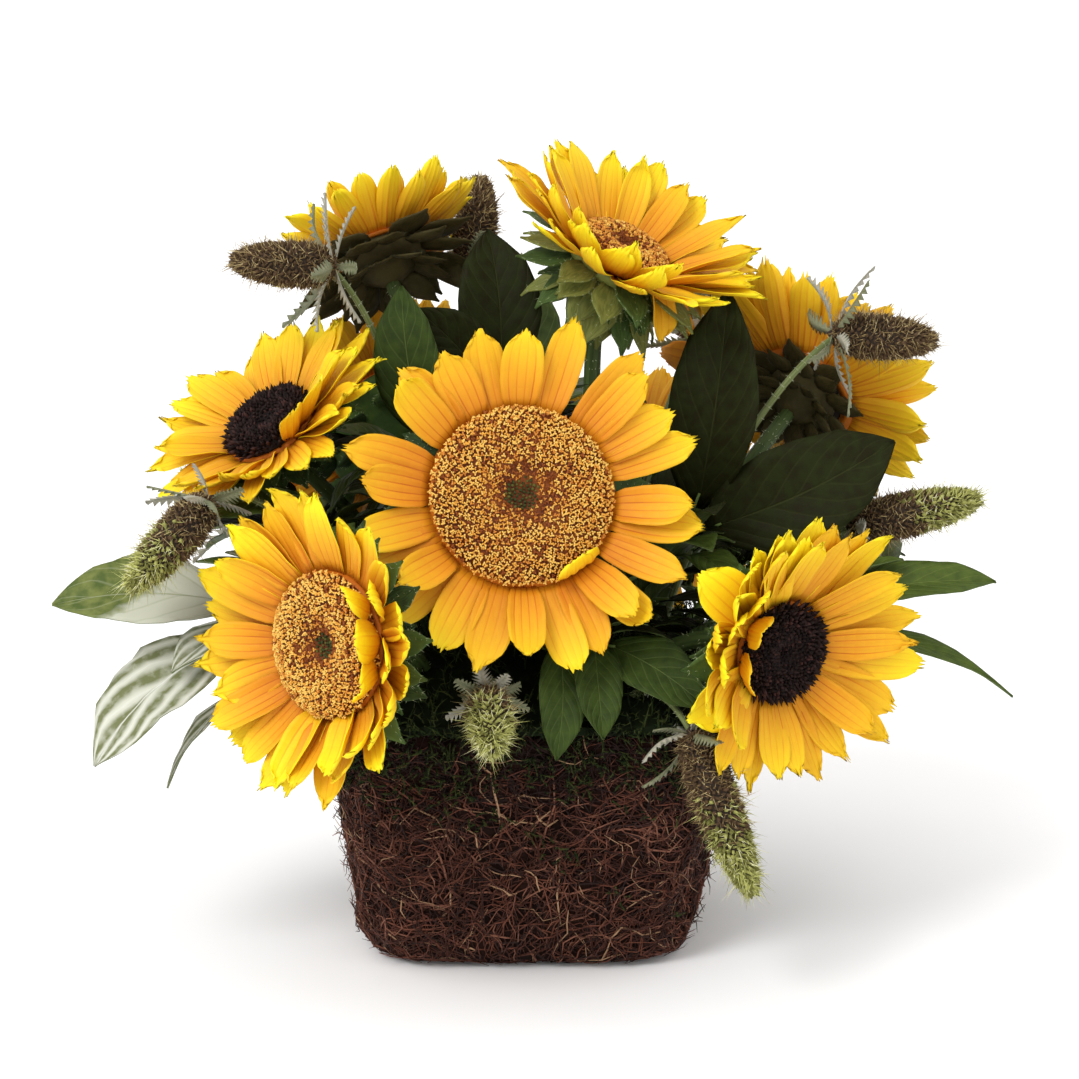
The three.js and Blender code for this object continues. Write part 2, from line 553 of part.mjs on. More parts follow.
const hollies = HOLLIES.map(({ name, neck, axis, cone, foot, knee, via, bract }, k) => {
  const frame = frameAt(neck, axis).elements;
  const end = vec(neck).addScaledVector(vec(axis), 2);
  const { stem } = plantStem(
    foot, knee, via, end, TWIG_RADIUS, TWIG_RADIUS * TWIG_TAPER, TWIG_SIDES, HOLLY_STEPS);
  const pieces = [stem, coneOf(cone).transform(frame)];
  if (!pieces.every(hasRoom)) model.userData.leftOut.push(`holly ${name} touches`);
  return { name, frame, pieces, ruff: bract ?? BRACT_LENGTH, seed: SEEDS.hollies + SEED_STEPS.hollies * k };
});
for (const { pieces } of hollies) pieces.forEach(stand);

// Sprays of leaves

// A leaf with its stalk, as one blade from the hub through the leaf's root to its tip
function branchOf({ hub, root, tip, wide, top, plain }, [yaw, pitch]) {
  const across = vec(tip).sub(hub);
  const level = new THREE.Vector3(-across.y, across.x, 0).normalize();
  const swing = new THREE.Quaternion().setFromAxisAngle(new THREE.Vector3(0, 0, 1), rad(yaw))
    .multiply(new THREE.Quaternion().setFromAxisAngle(level, rad(pitch)));
  const [from, to] = [root, tip].map((spot) => vec(spot).sub(hub).applyQuaternion(swing).add(hub));
  const reach = to.clone().sub(from);
  const side = vec(top).applyQuaternion(swing).cross(reach).normalize();
  const over = reach.clone().cross(side).normalize();
  const arch = (plain ? FILLER_ARCH : LEAF_ARCH) * reach.length();
  const stations = (plain ? FILLER_ROWS : LEAF_ROWS).map(([share, half]) => ({
    mid: from.clone().addScaledVector(reach, share).addScaledVector(over, 4 * arch * share * (1 - share)),
    side,
    top: over,
    half: 0.5 * wide * half,
    rise: 0.3,
    keel: share === 0 ? 0.7 : 1,
  }));
  return blade([{ mid: hub, side, top: over, half: 0.7, rise: 0.3, keel: 0.7 }, ...stations], to);
}

// Leaves that a spray bears on its way up, each a golden turn on from the last
function fillersOf(curve, count, seed) {
  const scatter = FILLER_SCATTER;
  return Array.from({ length: count }, (_, i) => {
    const hub = curve.getPoint(lerp(...FILLER_REACH, i / count));
    const turn = GOLDEN_TURN * i + scatter.turn * random(seed + i + 0.1);
    const length = FILLER_LENGTH * (1 + scatter.length * spread(seed + i + 0.2));
    const climb = FILLER_CLIMB + scatter.climb * spread(seed + i + 0.3);
    const way = new THREE.Vector3(Math.cos(turn), Math.sin(turn), climb).normalize();
    const root = hub.clone().addScaledVector(way, FILLER_ROOT);
    const tip = root.clone().addScaledVector(way, length);
    return { hub, root: root.toArray(), tip: tip.toArray(), wide: 0.5 * length, top: [0, 0, 1], plain: true };
  });
}

const sprays = SPRAYS.map(({ name, foot, knee, hub, leaves, fillers }, k) => {
  const via = vec(knee).lerp(vec(hub), 0.6);
  const { curve, stem } = plantStem(foot, knee, via, hub, TWIG_RADIUS, SPRAY_TIP, TWIG_SIDES, SPRAY_STEPS);
  if (!hasRoom(stem)) model.userData.leftOut.push(`leaves ${name} stem touches`);
  const own = leaves.map((leaf) => ({ hub: vec(hub), ...leaf }));
  const plain = fillersOf(curve, fillers, SEEDS.sprays + SEED_STEPS.sprays * k);
  return { name, stem, leaves: [...own, ...plain] };
});
for (const { stem } of sprays) stand(stem);
stand(moss);
addMesh(model, 'moss_mound', moss, 0x33491f, 0.95);

// Petals and sepals

for (const each of flowers) {
  const { flower, frame, seed, ring, placedRing } = each;
  each.petals = besideOwn([placedRing], () => growPetals(flower, seed, ring, frame));
  stand(each.petals.transform(frame.elements));
}
for (const each of flowers) {
  const { flower, frame, seed, cup, placedCup } = each;
  each.calyx = besideOwn([placedCup], () => growSepals(flower, seed, cup, frame));
  stand(each.calyx.transform(frame.elements));
}

for (const { flower, frame, stem, calyx, petals, disk } of flowers) {
  addMesh(model, `stem_${flower.name}`, stem, 0x6f9440, 0.6);
  const head = new THREE.Group();
  frame.decompose(head.position, head.quaternion, head.scale);
  addMesh(head, `calyx_${flower.name}`, calyx, 0x3f6426, 0.7);
  addMesh(head, `petals_${flower.name}`, petals, flower.colour, 0.55);
  addMesh(head, `disk_${flower.name}`, disk, flower.dark ? 0x2a1712 : 0xb0762a, 0.9);
  model.add(head);
}

// Bracts and leaves

for (const { name, frame, pieces, ruff, seed } of hollies) {
  const scatter = BRACT_SCATTER;
  const bracts = besideOwn(pieces, () => Array.from({ length: BRACTS }, (_, i) => {
    const turn = (2 * Math.PI * (i + scatter.turn * spread(seed + i + 0.1))) / BRACTS;
    const length = ruff * (1 + scatter.length * spread(seed + i + 0.2));
    const lean = scatter.tilt * spread(seed + i + 0.3);
    const tries = BRACT_TRIES.map((tilt) => bractAt(turn, length, rad(tilt + lean)).transform(frame));
    return tries.find(hasRoom);
  }).filter(Boolean));
  const holly = join([...pieces, ...bracts]);
  stand(holly);
  addMesh(model, `sea_holly_${name}`, holly, 0x8d94a0, 0.8);
}

for (const { name, stem, leaves } of sprays) {
  const grown = besideOwn([stem], () => leaves.map((leaf, i) => {
    const branch = SWINGS.map((swing) => branchOf(leaf, swing)).find(hasRoom);
    if (!branch) model.userData.leftOut.push(`leaves ${name} leaf ${i}`);
    return branch;
  }).filter(Boolean));
  const spray = join([stem, ...grown]);
  stand(spray);
  addMesh(model, `leaves_${name}`, spray, 0x2f5a26, 0.5);
}

export default model;
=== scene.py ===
# The looks of a sunflower arrangement in a square basket of matted roots, built round its packed
# solids. Places and sizes are in millimetres, as in the part's source, until build() turns them into
# metres. +Z is up, -Y is the front, and the origin is the middle of the flat underside.

import functools
import math
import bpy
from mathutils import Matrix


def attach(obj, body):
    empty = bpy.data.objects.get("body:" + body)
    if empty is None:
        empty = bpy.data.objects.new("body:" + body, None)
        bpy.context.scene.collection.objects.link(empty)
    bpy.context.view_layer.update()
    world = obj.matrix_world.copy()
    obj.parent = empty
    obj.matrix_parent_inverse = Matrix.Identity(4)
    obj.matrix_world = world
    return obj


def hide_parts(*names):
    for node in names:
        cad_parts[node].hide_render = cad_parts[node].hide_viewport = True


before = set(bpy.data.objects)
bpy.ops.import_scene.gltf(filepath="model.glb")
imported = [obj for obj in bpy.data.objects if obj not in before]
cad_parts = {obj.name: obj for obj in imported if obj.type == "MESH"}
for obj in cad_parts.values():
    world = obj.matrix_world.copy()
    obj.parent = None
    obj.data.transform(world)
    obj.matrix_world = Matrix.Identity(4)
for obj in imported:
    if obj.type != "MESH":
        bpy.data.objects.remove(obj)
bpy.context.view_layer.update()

from types import SimpleNamespace

import bpy
import numpy as np
from mathutils import Vector
from mathutils.bvhtree import BVHTree

MM = 0.001

# Driving dimensions, the same as in the part's source

GAP = 0.3
BASKET_HEIGHT = 96
CORNER_POWER = 5
TUFT = 2.6
TUFT_SIDES = 44
TUFT_HEIGHTS = (12, 28, 44, 60, 76, 92)
STEM_FOOT = 95
STEM_RADIUS = 3.4
STEM_TAPER = 0.8
TWIG_RADIUS = 1.6
TWIG_TAPER = 0.6
SPRAY_TIP = 1.1
CUP_DEPTH = 13
RING_HEIGHT = 2
RING_WIDTH = 5
HEAD_MARGIN = 2
OUTER_PETALS = 12
INNER_PETALS = 8
PETAL_WIDTH = 0.43
PETAL_TRIES = (0, 14, -10, 28, 44, 60)
SEPALS = 8
SEPAL_TRIES = (4, 18, 34, 52)
BRACTS = 6
BRACT_LENGTH = 30
BRACT_TRIES = (18, 36, -4, 50)
CONE_RADIUS = 8
FILLER_LENGTH = 44
GOLDEN_TURN = 2.39996
SWINGS = [(0, 0), *((a, b) for turn in (8, 16) for a, b in ((turn, 0), (-turn, 0), (0, turn), (0, -turn))),
          (26, 0), (-26, 0)]


def table(fields, lines, **usual):
    """Makes each line a namespace: its fields in order, over what is usual, and then the dict at its end."""
    return [SimpleNamespace(**{**usual, **dict(zip(fields.split(), line)), **line[-1]}) for line in lines]


# at: middle of the disk's base; face: the way the flower looks; disk, span: radii; cup, bend: degrees that
# a petal rises at its root, and on to its tip; foot, knee, neck: guides of the stem; sepal: length of its
# sepals; short, curl: how much shorter and more bent the petals are towards an angle from the flower's own
# right. Only for the looks: extras: petals in the gaps of the source's rows; slim: a petal's width, as a
# share; tones: shares of the petals' range of colours at their root and tip; vary, glow: how much is added
# at random, and towards curl_at; fold: how far petals are folded there; blunt: how likely a tip is to be
# square; lift: degrees that extras rise more; sepals: how dark they are; slight: how small, as a share;
# rusty: how far the disk's colours shift to rust; singles: petals that curl in a way of their own, with
# their direction, length, width, rise, bend, fold and tone
FLOWERS = table("name at face disk span cup bend foot knee neck sepal extras slim tones", [
    ("front", (-2, -62, 183), (0.1, -0.89, 0.45), 33, 71, 10, 4, (-4, -8), (-6, 2, 142), 22, 20,
     6, 0.93, (0.22, 0.68), dict(short=0.14, short_at=135, vary=0.16, blunt=0.6, singles=[
         (-56, 12, 19, 62, 84, 0, 0.95)])),
    ("low_left", (-69, -100, 138), (-0.68, -0.72, 0.1), 26, 62, 15, 10, (-36, -34), (-38, -42, 122), 18, 20,
     12, 0.92, (0.22, 0.88), dict(short=0.06, curl=28, vary=0.2, glow=0.24, fold=0.15, singles=[
         (44, 20, 14, 50, 30, 0.3, 1), (14, 21, 16, 56, 26, 0.3, 0.98), (-14, 20, 15, 50, 24, 0.4, 0.95),
         (-60, 30, 14, 30, 24, 0.5, 1), (-96, 33, 13, 28, 10, 0.5, 0.98)])),
    ("low_right", (91, -78, 130), (0.57, -0.82, -0.06), 18, 54, 16, 0, (34, -32), (38, -34, 118), 20, 20,
     15, 0.82, (0.34, 0.78), dict(
         short=-0.18, curl=35, curl_at=160, dark=True, vary=0.16, glow=0.3, fold=0.5, singles=[
             (136, 34, 20, 4, -18, 0.25, 1), (206, 28, 21, 6, -16, 0.25, 1), (104, 32, 15, 14, -4, 0.35, 0.95),
             (142, 15, 14, 62, 22, 0.25, 0.78), (190, 16, 15, 58, 20, 0.25, 0.74)])),
    ("mid_left", (-95, -20, 199), (-0.48, -0.38, 0.79), 17, 53, 12, 0, (-34, -6), (-44, -2, 150), 22, 18,
     16, 0.76, (0.36, 0.9), dict(dark=True, blunt=0.25, singles=[
         (48, 31, 11, 30, 14, 0.3, 0.92), (22, 30, 12, 38, 12, 0.35, 0.88), (-4, 26, 12, 42, 16, 0.3, 0.82)])),
    ("top_left", (-56, 43, 254), (-0.33, 0.6, 0.74), 18, 48, 20, 4, (-14, 16), (-22, 18, 180), 26, 28,
     16, 0.82, (0.4, 0.92), dict(blunt=0.35, sepals="dark", slight=0.85)),
    ("top", (35, 5, 260), (0.42, -0.25, 0.87), 18, 58, 16, 4, (16, 10), (30, 14, 190), 22, 24,
     26, 0.74, (0.3, 0.82), dict(
         curl=30, curl_at=207, vary=0.16, glow=0.2, lift=16, sepals="light", rusty=0.6, singles=[
             (-38, 33, 15, -24, -26, 0.2, 0.5), (-66, 30, 14, -34, -24, 0.2, 0.38),
             (-104, 24, 13, -30, -30, 0.3, 0.6), (172, 33, 12, 26, 14, 0.3, 1)])),
    ("right", (107, 39, 200), (0.49, 0.76, 0.44), 20, 57, 12, 2, (38, 4), (60, 6, 150), 24, 26,
     14, 0.9, (0.38, 0.8), dict(dark=True, sepals="dark", slight=0.66, singles=[
         (7, 50, 19, 4, 0, 0.15, 0.36)])),
    ("back_left", (-55, 84, 176), (-0.45, 0.86, 0.25), 26, 60, 12, 4, (-24, 36), (-26, 44, 138), 20, 20,
     10, 0.9, (0.3, 0.66), {}),
    ("back_right", (46, 98, 146), (0.35, 0.93, 0.05), 20, 58, 14, 4, (20, 40), (22, 48, 128), 20, 20,
     12, 0.84, (0.3, 0.7), dict(dark=True)),
], short=0, short_at=0, curl=0, curl_at=0, dark=False, vary=0.1, glow=0, fold=0, blunt=0.5, lift=0,
    sepals=None, slight=1, rusty=0, singles=())

# neck: where the cone joins its stem; axis: the way the cone points, and cone its length; foot, knee, via:
# guides of the stem; ripe: share of the cone, from its foot, that is grey-brown, before it turns to a light
# green tip; bract: length of its bracts
HOLLIES = table("name neck axis cone foot knee via ripe", [
    ("upper_left", (-72, -12, 260), (-0.97, -0.23, 0.09), 38, (-24, 2), (-30, 2, 170), (-56, -6, 244), 1, {}),
    ("upper_right", (116, 0, 232), (0.99, -0.12, -0.05), 38, (46, -10), (60, -12, 170), (98, -4, 221), 1, {}),
    ("mid_right", (123, -5, 158), (0.97, -0.04, 0.23), 50, (54, -16), (66, -14, 125), (105, -6, 152), 0.6,
     dict(bract=22)),
    ("mid_left", (-116, -62, 182), (-0.63, -0.46, -0.63), 44, (-48, -24), (-60, -38, 150), (-104, -46, 194),
     0.55, dict(bract=24)),
    ("low_front", (-14, -84, 114), (0.05, -0.94, -0.33), 34, (-10, -52), (-12, -58, 118), (-14, -74, 118),
     0.35, dict(bract=18)),
    ("low_right", (60, -88, 101), (0.35, -0.34, -0.87), 62, (34, -54), (40, -64, 120), (54, -82, 114),
     0.55, dict(bract=24)),
    ("top_middle", (-22, 60, 246), (0.1, 0.24, 0.97), 36, (2, 30), (-2, 38, 160), (-20, 57, 222), 1, {}),
    ("back_left", (-105, 60, 150), (-0.8, 0.5, 0.2), 40, (-44, 24), (-56, 30, 125), (-88, 50, 142), 0.7, {}),
    ("back_right", (66, 92, 212), (0.25, 0.75, 0.6), 40, (36, 26), (38, 48, 150), (60, 76, 198), 0.9, {}),
], bract=BRACT_LENGTH)

# hub: where a spray's leaves part; fillers: how many plain leaves grow on the way up, silver ones on a pale
# spray; leaves: each with its root, tip, width, the way that its top side faces, and one of LOOKS; more:
# leaves that only the looks have
SPRAYS = table("name foot knee hub fillers leaves", [
    ("left", (-50, -8), (-58, -12, 118), (-92, -32, 126), 3, [
        ((-110, -42, 138), (-176, -52, 140), 33, (0.1, -0.6, 0.8), "half"),
        ((-108, -45, 124), (-160, -70, 83), 37, (-0.5, -0.6, 0.6), "silver"),
        ((-106, -42, 104), (-134, -62, 72), 11, (-0.5, -0.3, 0.4), "silver")], dict(pale=True)),
    ("mid_left", (-54, 4), (-62, -4, 130), (-84, -36, 168), 4, [
        ((-90, -42, 176), (-118, -52, 172), 18, (0, -0.6, 0.8), "green"),
        ((-92, -20, 168), (-128, 30, 176), 30, (-0.5, 0, 0.8), "green")], {}),
    ("upper_left", (-26, -16), (-30, -18, 150), (-38, -10, 186), 5, [
        ((-41, -8, 194), (-63, 2, 246), 26, (-0.2, -0.95, 0.2), "deep")], {}),
    ("upper_middle", (2, 12), (0, 12, 160), (-8, 12, 204), 6, [
        ((-10, 12, 212), (-15, 28, 267), 32, (0, -0.95, 0.3), "dark")],
     dict(more=[((-14, 4, 210), (-42, 4, 241), 26, (-0.1, -0.95, 0.2), "dark")])),
    ("upper_right", (30, -12), (36, -14, 130), (58, -12, 156), 4, [
        ((66, -8, 165), (87, 6, 245), 36, (-0.4, -0.9, 0.1), "dark"),
        ((68, -16, 160), (139, -12, 193), 40, (0.2, -0.9, 0.4), "dark")], {}),
    ("right", (54, -30), (66, -32, 112), (104, -30, 126), 3, [
        ((116, -28, 136), (177, -26, 142), 20, (0, -0.5, 0.85), "green"),
        ((122, -34, 124), (183, -40, 101), 12, (0, -0.4, 0.9), "green"),
        ((112, -16, 136), (150, 32, 150), 30, (0.5, 0, 0.8), "green")], {}),
    ("low_front", (14, -42), (16, -46, 124), (18, -58, 130), 3, [
        ((12, -68, 130), (11, -92, 92), 18, (0.1, -0.9, 0.4), "deep"),
        ((25, -68, 130), (28, -92, 100), 18, (0.2, -0.9, 0.4), "deep"),
        ((30, -64, 128), (66, -86, 110), 24, (0.2, -0.8, 0.6), "deep")], {}),
    ("back_left", (-50, 44), (-60, 56, 122), (-84, 72, 130), 4, [
        ((-92, 76, 136), (-150, 96, 128), 28, (0, 0.5, 0.85), "green"),
        ((-80, 86, 122), (-92, 136, 100), 26, (0, 0.5, 0.8), "silver"),
        ((-96, 62, 138), (-146, 44, 158), 28, (-0.3, 0, 0.9), "dark")], {}),
    ("back_middle", (0, 52), (0, 60, 140), (-2, 72, 166), 6, [
        ((-6, 82, 160), (-14, 134, 132), 28, (0, 0.6, 0.8), "dark"),
        ((2, 76, 176), (4, 92, 236), 28, (0, 0.95, -0.2), "dark")], {}),
    ("back_right", (54, 34), (66, 40, 120), (98, 56, 132), 4, [
        ((106, 58, 138), (168, 62, 144), 28, (0, 0.4, 0.9), "green"),
        ((102, 66, 126), (142, 108, 104), 26, (0.2, 0.5, 0.8), "green"),
        ((108, 62, 142), (152, 84, 164), 28, (0.2, 0.3, 0.9), "dark")], {}),
], pale=False, more=())

# Camera, lights and floor

TARGET = (4.8, 0, 151.8)
DISTANCE = 1500
ELEVATION = math.radians(14)
SENSOR = 36
FOCAL_LENGTH = 130.67
FLOOR_RADIUS = 9
AMBIENT = 1.1
SUN_FROM = (-0.75, -0.95, 1.15)
SUN_POWER = 1.4
SUN_SOFTNESS = math.radians(24)


def aimed(name, data, place, target):
    held = bpy.data.objects.new(name, data)
    bpy.context.scene.collection.objects.link(held)
    held.location = place
    held.rotation_mode = "QUATERNION"
    held.rotation_quaternion = (Vector(target) - Vector(place)).to_track_quat("-Z", "Y")
    return held


scene = bpy.context.scene
camera = bpy.data.cameras.new("camera")
camera.sensor_width = SENSOR
camera.lens = FOCAL_LENGTH
behind = Vector((0, -math.cos(ELEVATION), math.sin(ELEVATION))) * DISTANCE
scene.camera = aimed("camera", camera, (Vector(TARGET) + behind) * MM, Vector(TARGET) * MM)
sun = bpy.data.lights.new("sun", "SUN")
sun.energy = SUN_POWER
sun.angle = SUN_SOFTNESS
aimed("sun", sun, SUN_FROM, (0, 0, 0))
scene.view_settings.view_transform = "Standard"
scene.world = bpy.data.worlds.new("studio")
scene.world.use_nodes = True
background = scene.world.node_tree.nodes["Background"]
background.inputs["Color"].default_value = (1, 1, 1, 1)
background.inputs["Strength"].default_value = AMBIENT

# Materials


def channels(code):
    return [code >> shift & 255 for shift in (16, 8, 0)]


def tone(code):
    """The linear colour of a hexadecimal sRGB code."""
    shares = (part / 255 for part in channels(code))
    return (*(c / 12.92 if c <= 0.04045 else ((c + 0.055) / 1.055) ** 2.4 for c in shares), 1)


class Nodes:
    """The node tree of a new material. What goes into a node is a number, a colour or a node's output."""

    def __init__(self, name, code, roughness):
        self.material = bpy.data.materials.new(name)
        self.material.use_nodes = True
        self.tree = self.material.node_tree
        self.shader = self.tree.nodes["Principled BSDF"]
        self.set(Base_Color=tone(code), Roughness=roughness)

    def fill(self, node, inputs):
        for key, value in inputs.items():
            if isinstance(value, bpy.types.NodeSocket):
                self.tree.links.new(value, node.inputs[key])
            else:
                node.inputs[key].default_value = value

    def set(self, **inputs):
        self.fill(self.shader, {name.replace("_", " "): value for name, value in inputs.items()})

    def make(self, kind, inputs, output=0, **settings):
        """Makes a node, and returns one of its outputs."""
        node = self.tree.nodes.new("ShaderNode" + kind)
        for name, value in settings.items():
            setattr(node, name, value)
        self.fill(node, inputs)
        return node.outputs[output]

    def math(self, operation, *values):
        return self.make("Math", dict(enumerate(values)), operation=operation)

    def noise(self, vector, scale):
        return self.make("TexNoise", {"Vector": vector, "Scale": scale, "Detail": 3})

    def drawn_out(self, vector, times):
        return self.make("Mapping", {"Vector": vector, "Scale": (times, 1, 1)})

    def ranged(self, *values):
        """A value, mapped from a low and high number to two others."""
        return self.make("MapRange", dict(enumerate(values)))

    def mixed(self, share, one, other):
        return self.make("Mix", {0: share, 6: one, 7: other}, 2, data_type="RGBA")

    def surface(self, noise, rough, shine, depth, strength, height=None):
        """Gloss that varies with a noise, and relief."""
        bump = {"Height": height or noise, "Distance": depth * MM, "Strength": strength}
        self.set(Roughness=self.ranged(noise, 0.3, 0.7, *rough), Specular_IOR_Level=shine,
                 Normal=self.make("Bump", bump))


def finish(name, code, rough, grain, depth=0.3, relief=0.5, mottle=None, along=None, shine=0.3):
    """A finish with a noise in its bump and gloss. Its colour is plain, or mottled with another. With
    along, the noise follows the piece's own grain, drawn out that many times."""
    n = Nodes(name, code, rough[0])
    spot = n.make("TexCoord", {}, "UV" if along else "Object")
    if along:
        spot = n.drawn_out(spot, along)
    n.surface(n.noise(spot, grain), rough, shine, depth, relief)
    if mottle:
        patches = n.ranged(n.noise(spot, grain / 6), 0.42, 0.6, 0, 1)
        n.set(Base_Color=n.mixed(patches, tone(code), tone(mottle)))
    return n.material


def finishes(rough, grain, shine, **codes):
    """Plain finishes that differ only in colour."""
    return [finish(name, code, rough, grain, shine=shine) for name, code in codes.items()]


def petal_finish(name, before, code, after):
    """A petal's shade. On each face it leads from half the shade before to half the shade after, so that the
    faces' shades run into each other along the petal."""
    n = Nodes(name, code, 0.6)
    grain = n.make("TexCoord", {}, "UV")
    n.surface(n.noise(n.drawn_out(grain, 9), 5), (0.5, 0.7), 0.25, 0.3, 0.35)
    along = n.make("SeparateXYZ", {"Vector": grain}, "Y")
    on_face = n.math("FRACT", n.math("MULTIPLY", along, PETAL_STEPS))
    n.set(Base_Color=n.mixed(on_face, tone(before), tone(after)))
    return n.material


def leaf_finish(name, code, blotch, vein, rough, shine, veins=7, slant=0.75, puffed=False, pale=None):
    """A leaf's finish: a pale midrib, side veins that run forward from it, and skin between, blotched at
    random or, if puffed, along the valleys. A leaf may be pale near its root, further up on one side."""
    n = Nodes(name, code, rough[0])
    across, along, _ = n.make("SeparateXYZ", {"Vector": n.make("TexCoord", {}, "UV")}).node.outputs
    aside = n.math("ABSOLUTE", n.math("SUBTRACT", across, 0.5))
    rise = n.math("SUBTRACT", along, n.math("MULTIPLY", aside, slant))
    wave = n.math("PINGPONG", n.math("MULTIPLY", rise, veins), 0.5)
    midrib = n.ranged(aside, 0.008, 0.03, 1, 0)
    lines = n.math("MAXIMUM", midrib, n.math("MULTIPLY", n.ranged(wave, 0, 0.09, 1, 0), 0.55))
    spot = n.make("TexCoord", {}, "Object")
    noise = n.noise(spot, 220)
    if puffed:
        blotches = n.math("MULTIPLY", n.ranged(wave, 0.12, 0.36, 0, 1), n.ranged(noise, 0.3, 0.55, 0.5, 1))
    else:
        blotches = n.ranged(noise, 0.35, 0.65, 0, 1)
    skin = n.mixed(blotches, tone(code), tone(blotch))
    if pale:
        ahead = n.math("ADD", along, n.math("MULTIPLY", across, 0.34))
        ahead = n.math("ADD", ahead, n.math("MULTIPLY", noise, 0.16))
        skin = n.mixed(n.ranged(ahead, 0.68, 0.78, 0, 1), tone(pale), skin)
    n.set(Base_Color=n.mixed(n.math("MULTIPLY", lines, 0.7), skin, tone(vein)))
    fine = n.math("MULTIPLY", n.noise(spot, 1600), 0.35)
    swell = n.math("SUBTRACT", n.math("POWER", n.math("MULTIPLY", wave, 2), 0.5), midrib)
    n.surface(noise, rough, shine, 0.5, 0.6, n.math("ADD", swell, fine))
    return n.material


# Numbers and vectors


def random(seed):
    return math.sin(seed * 12.9898) * 43758.5453 % 1


def spread(seed):
    return 2 * random(seed) - 1


def unit(v):
    v = np.asarray(v, float)
    return v / np.linalg.norm(v, axis=-1, keepdims=True)


def round_turn(count):
    """Directions evenly round a full turn."""
    return 2 * np.pi * np.arange(count) / count


def polar(reach, turn, z):
    """Points by their reach and direction from the Z axis, and their height."""
    return np.stack(np.broadcast_arrays(reach * np.cos(turn), reach * np.sin(turn), z), -1)


def turned(points, turn):
    c, s = math.cos(turn), math.sin(turn)
    return points @ np.array([[c, s, 0], [-s, c, 0], [0, 0, 1]])


def turn_about(v, axis, degrees):
    a = math.radians(degrees)
    return v * math.cos(a) + np.cross(axis, v) * math.sin(a) + axis * (axis @ v) * (1 - math.cos(a))


class Place:
    """A place that looks along face, with its own right, up and ahead."""

    def __init__(self, at, face):
        ahead = unit(face)
        right = unit(np.cross((0, 0, 1), ahead))
        self.at = np.array(at, float)
        self.axes = np.array([right, np.cross(ahead, right), ahead])

    def __call__(self, points, turn=None):
        """Places points, turned round +Z first."""
        return (points if turn is None else turned(points, turn)) @ self.axes + self.at


# Meshes


@functools.lru_cache
def grid_faces(rows, columns, around=False):
    """Faces of a grid of points, anticlockwise where its columns run right and its rows run on."""
    r, c = np.mgrid[: rows - 1, : columns if around else columns - 1]
    here, beside = r * columns + c, r * columns + (c + 1) % columns
    return np.stack([here, beside, beside + columns, here + columns], -1).reshape(-1, 4)


@functools.lru_cache
def shell_faces(rows, columns):
    """Faces of a shell. Those below start at the same corner as those above, so that both are split along
    the same diagonal and stay apart where they are warped."""
    top = grid_faces(rows, columns)
    under = top[:, [0, 3, 2, 1]] + rows * columns
    first, last = np.arange(columns), (rows - 1) * columns + np.arange(columns)
    left, right = np.arange(rows) * columns, np.arange(rows) * columns + columns - 1
    loop = np.concatenate([first, right[1:], last[::-1][1:], left[::-1][1:]])
    rim = np.stack([loop[1:], loop[:-1], loop[:-1] + rows * columns, loop[1:] + rows * columns], -1)
    return np.concatenate([top, under, rim])


def tubes(paths, radii, sides=3, lobes=0, lobe=0.0, capped=True):
    """Tubes along paths, (tubes, steps, 3), with a radius at each step. lobes ribs run along them, lobe
    of the radius high."""
    count, steps = paths.shape[:2]
    along = unit(np.gradient(paths, axis=1))
    ref = np.where(np.abs(along[:, :1, 2:]) < 0.8, (0, 0, 1), (1, 0, 0))
    side = unit(np.cross(along, ref))
    over = np.cross(side, along)
    turn = round_turn(sides)
    reach = np.broadcast_to(radii, (count, steps))[..., None] * (1 + lobe * np.cos(lobes * turn))
    right, up = (part[..., None] for part in (reach * np.cos(turn), reach * np.sin(turn)))
    points = paths[:, :, None] + (right * side[:, :, None] + up * over[:, :, None])
    wall = grid_faces(steps, sides, True)[:, ::-1]
    fan = np.array([[0, i, i + 1, -1] for i in range(1, sides - 1)])
    far = np.where(fan < 0, -1, fan[:, [0, 2, 1, 3]] + (steps - 1) * sides)
    one = np.concatenate([wall, fan, far]) if capped else wall
    every = np.where(one < 0, -1, one + np.arange(count)[:, None, None] * steps * sides)
    return points, every.reshape(-1, 4)


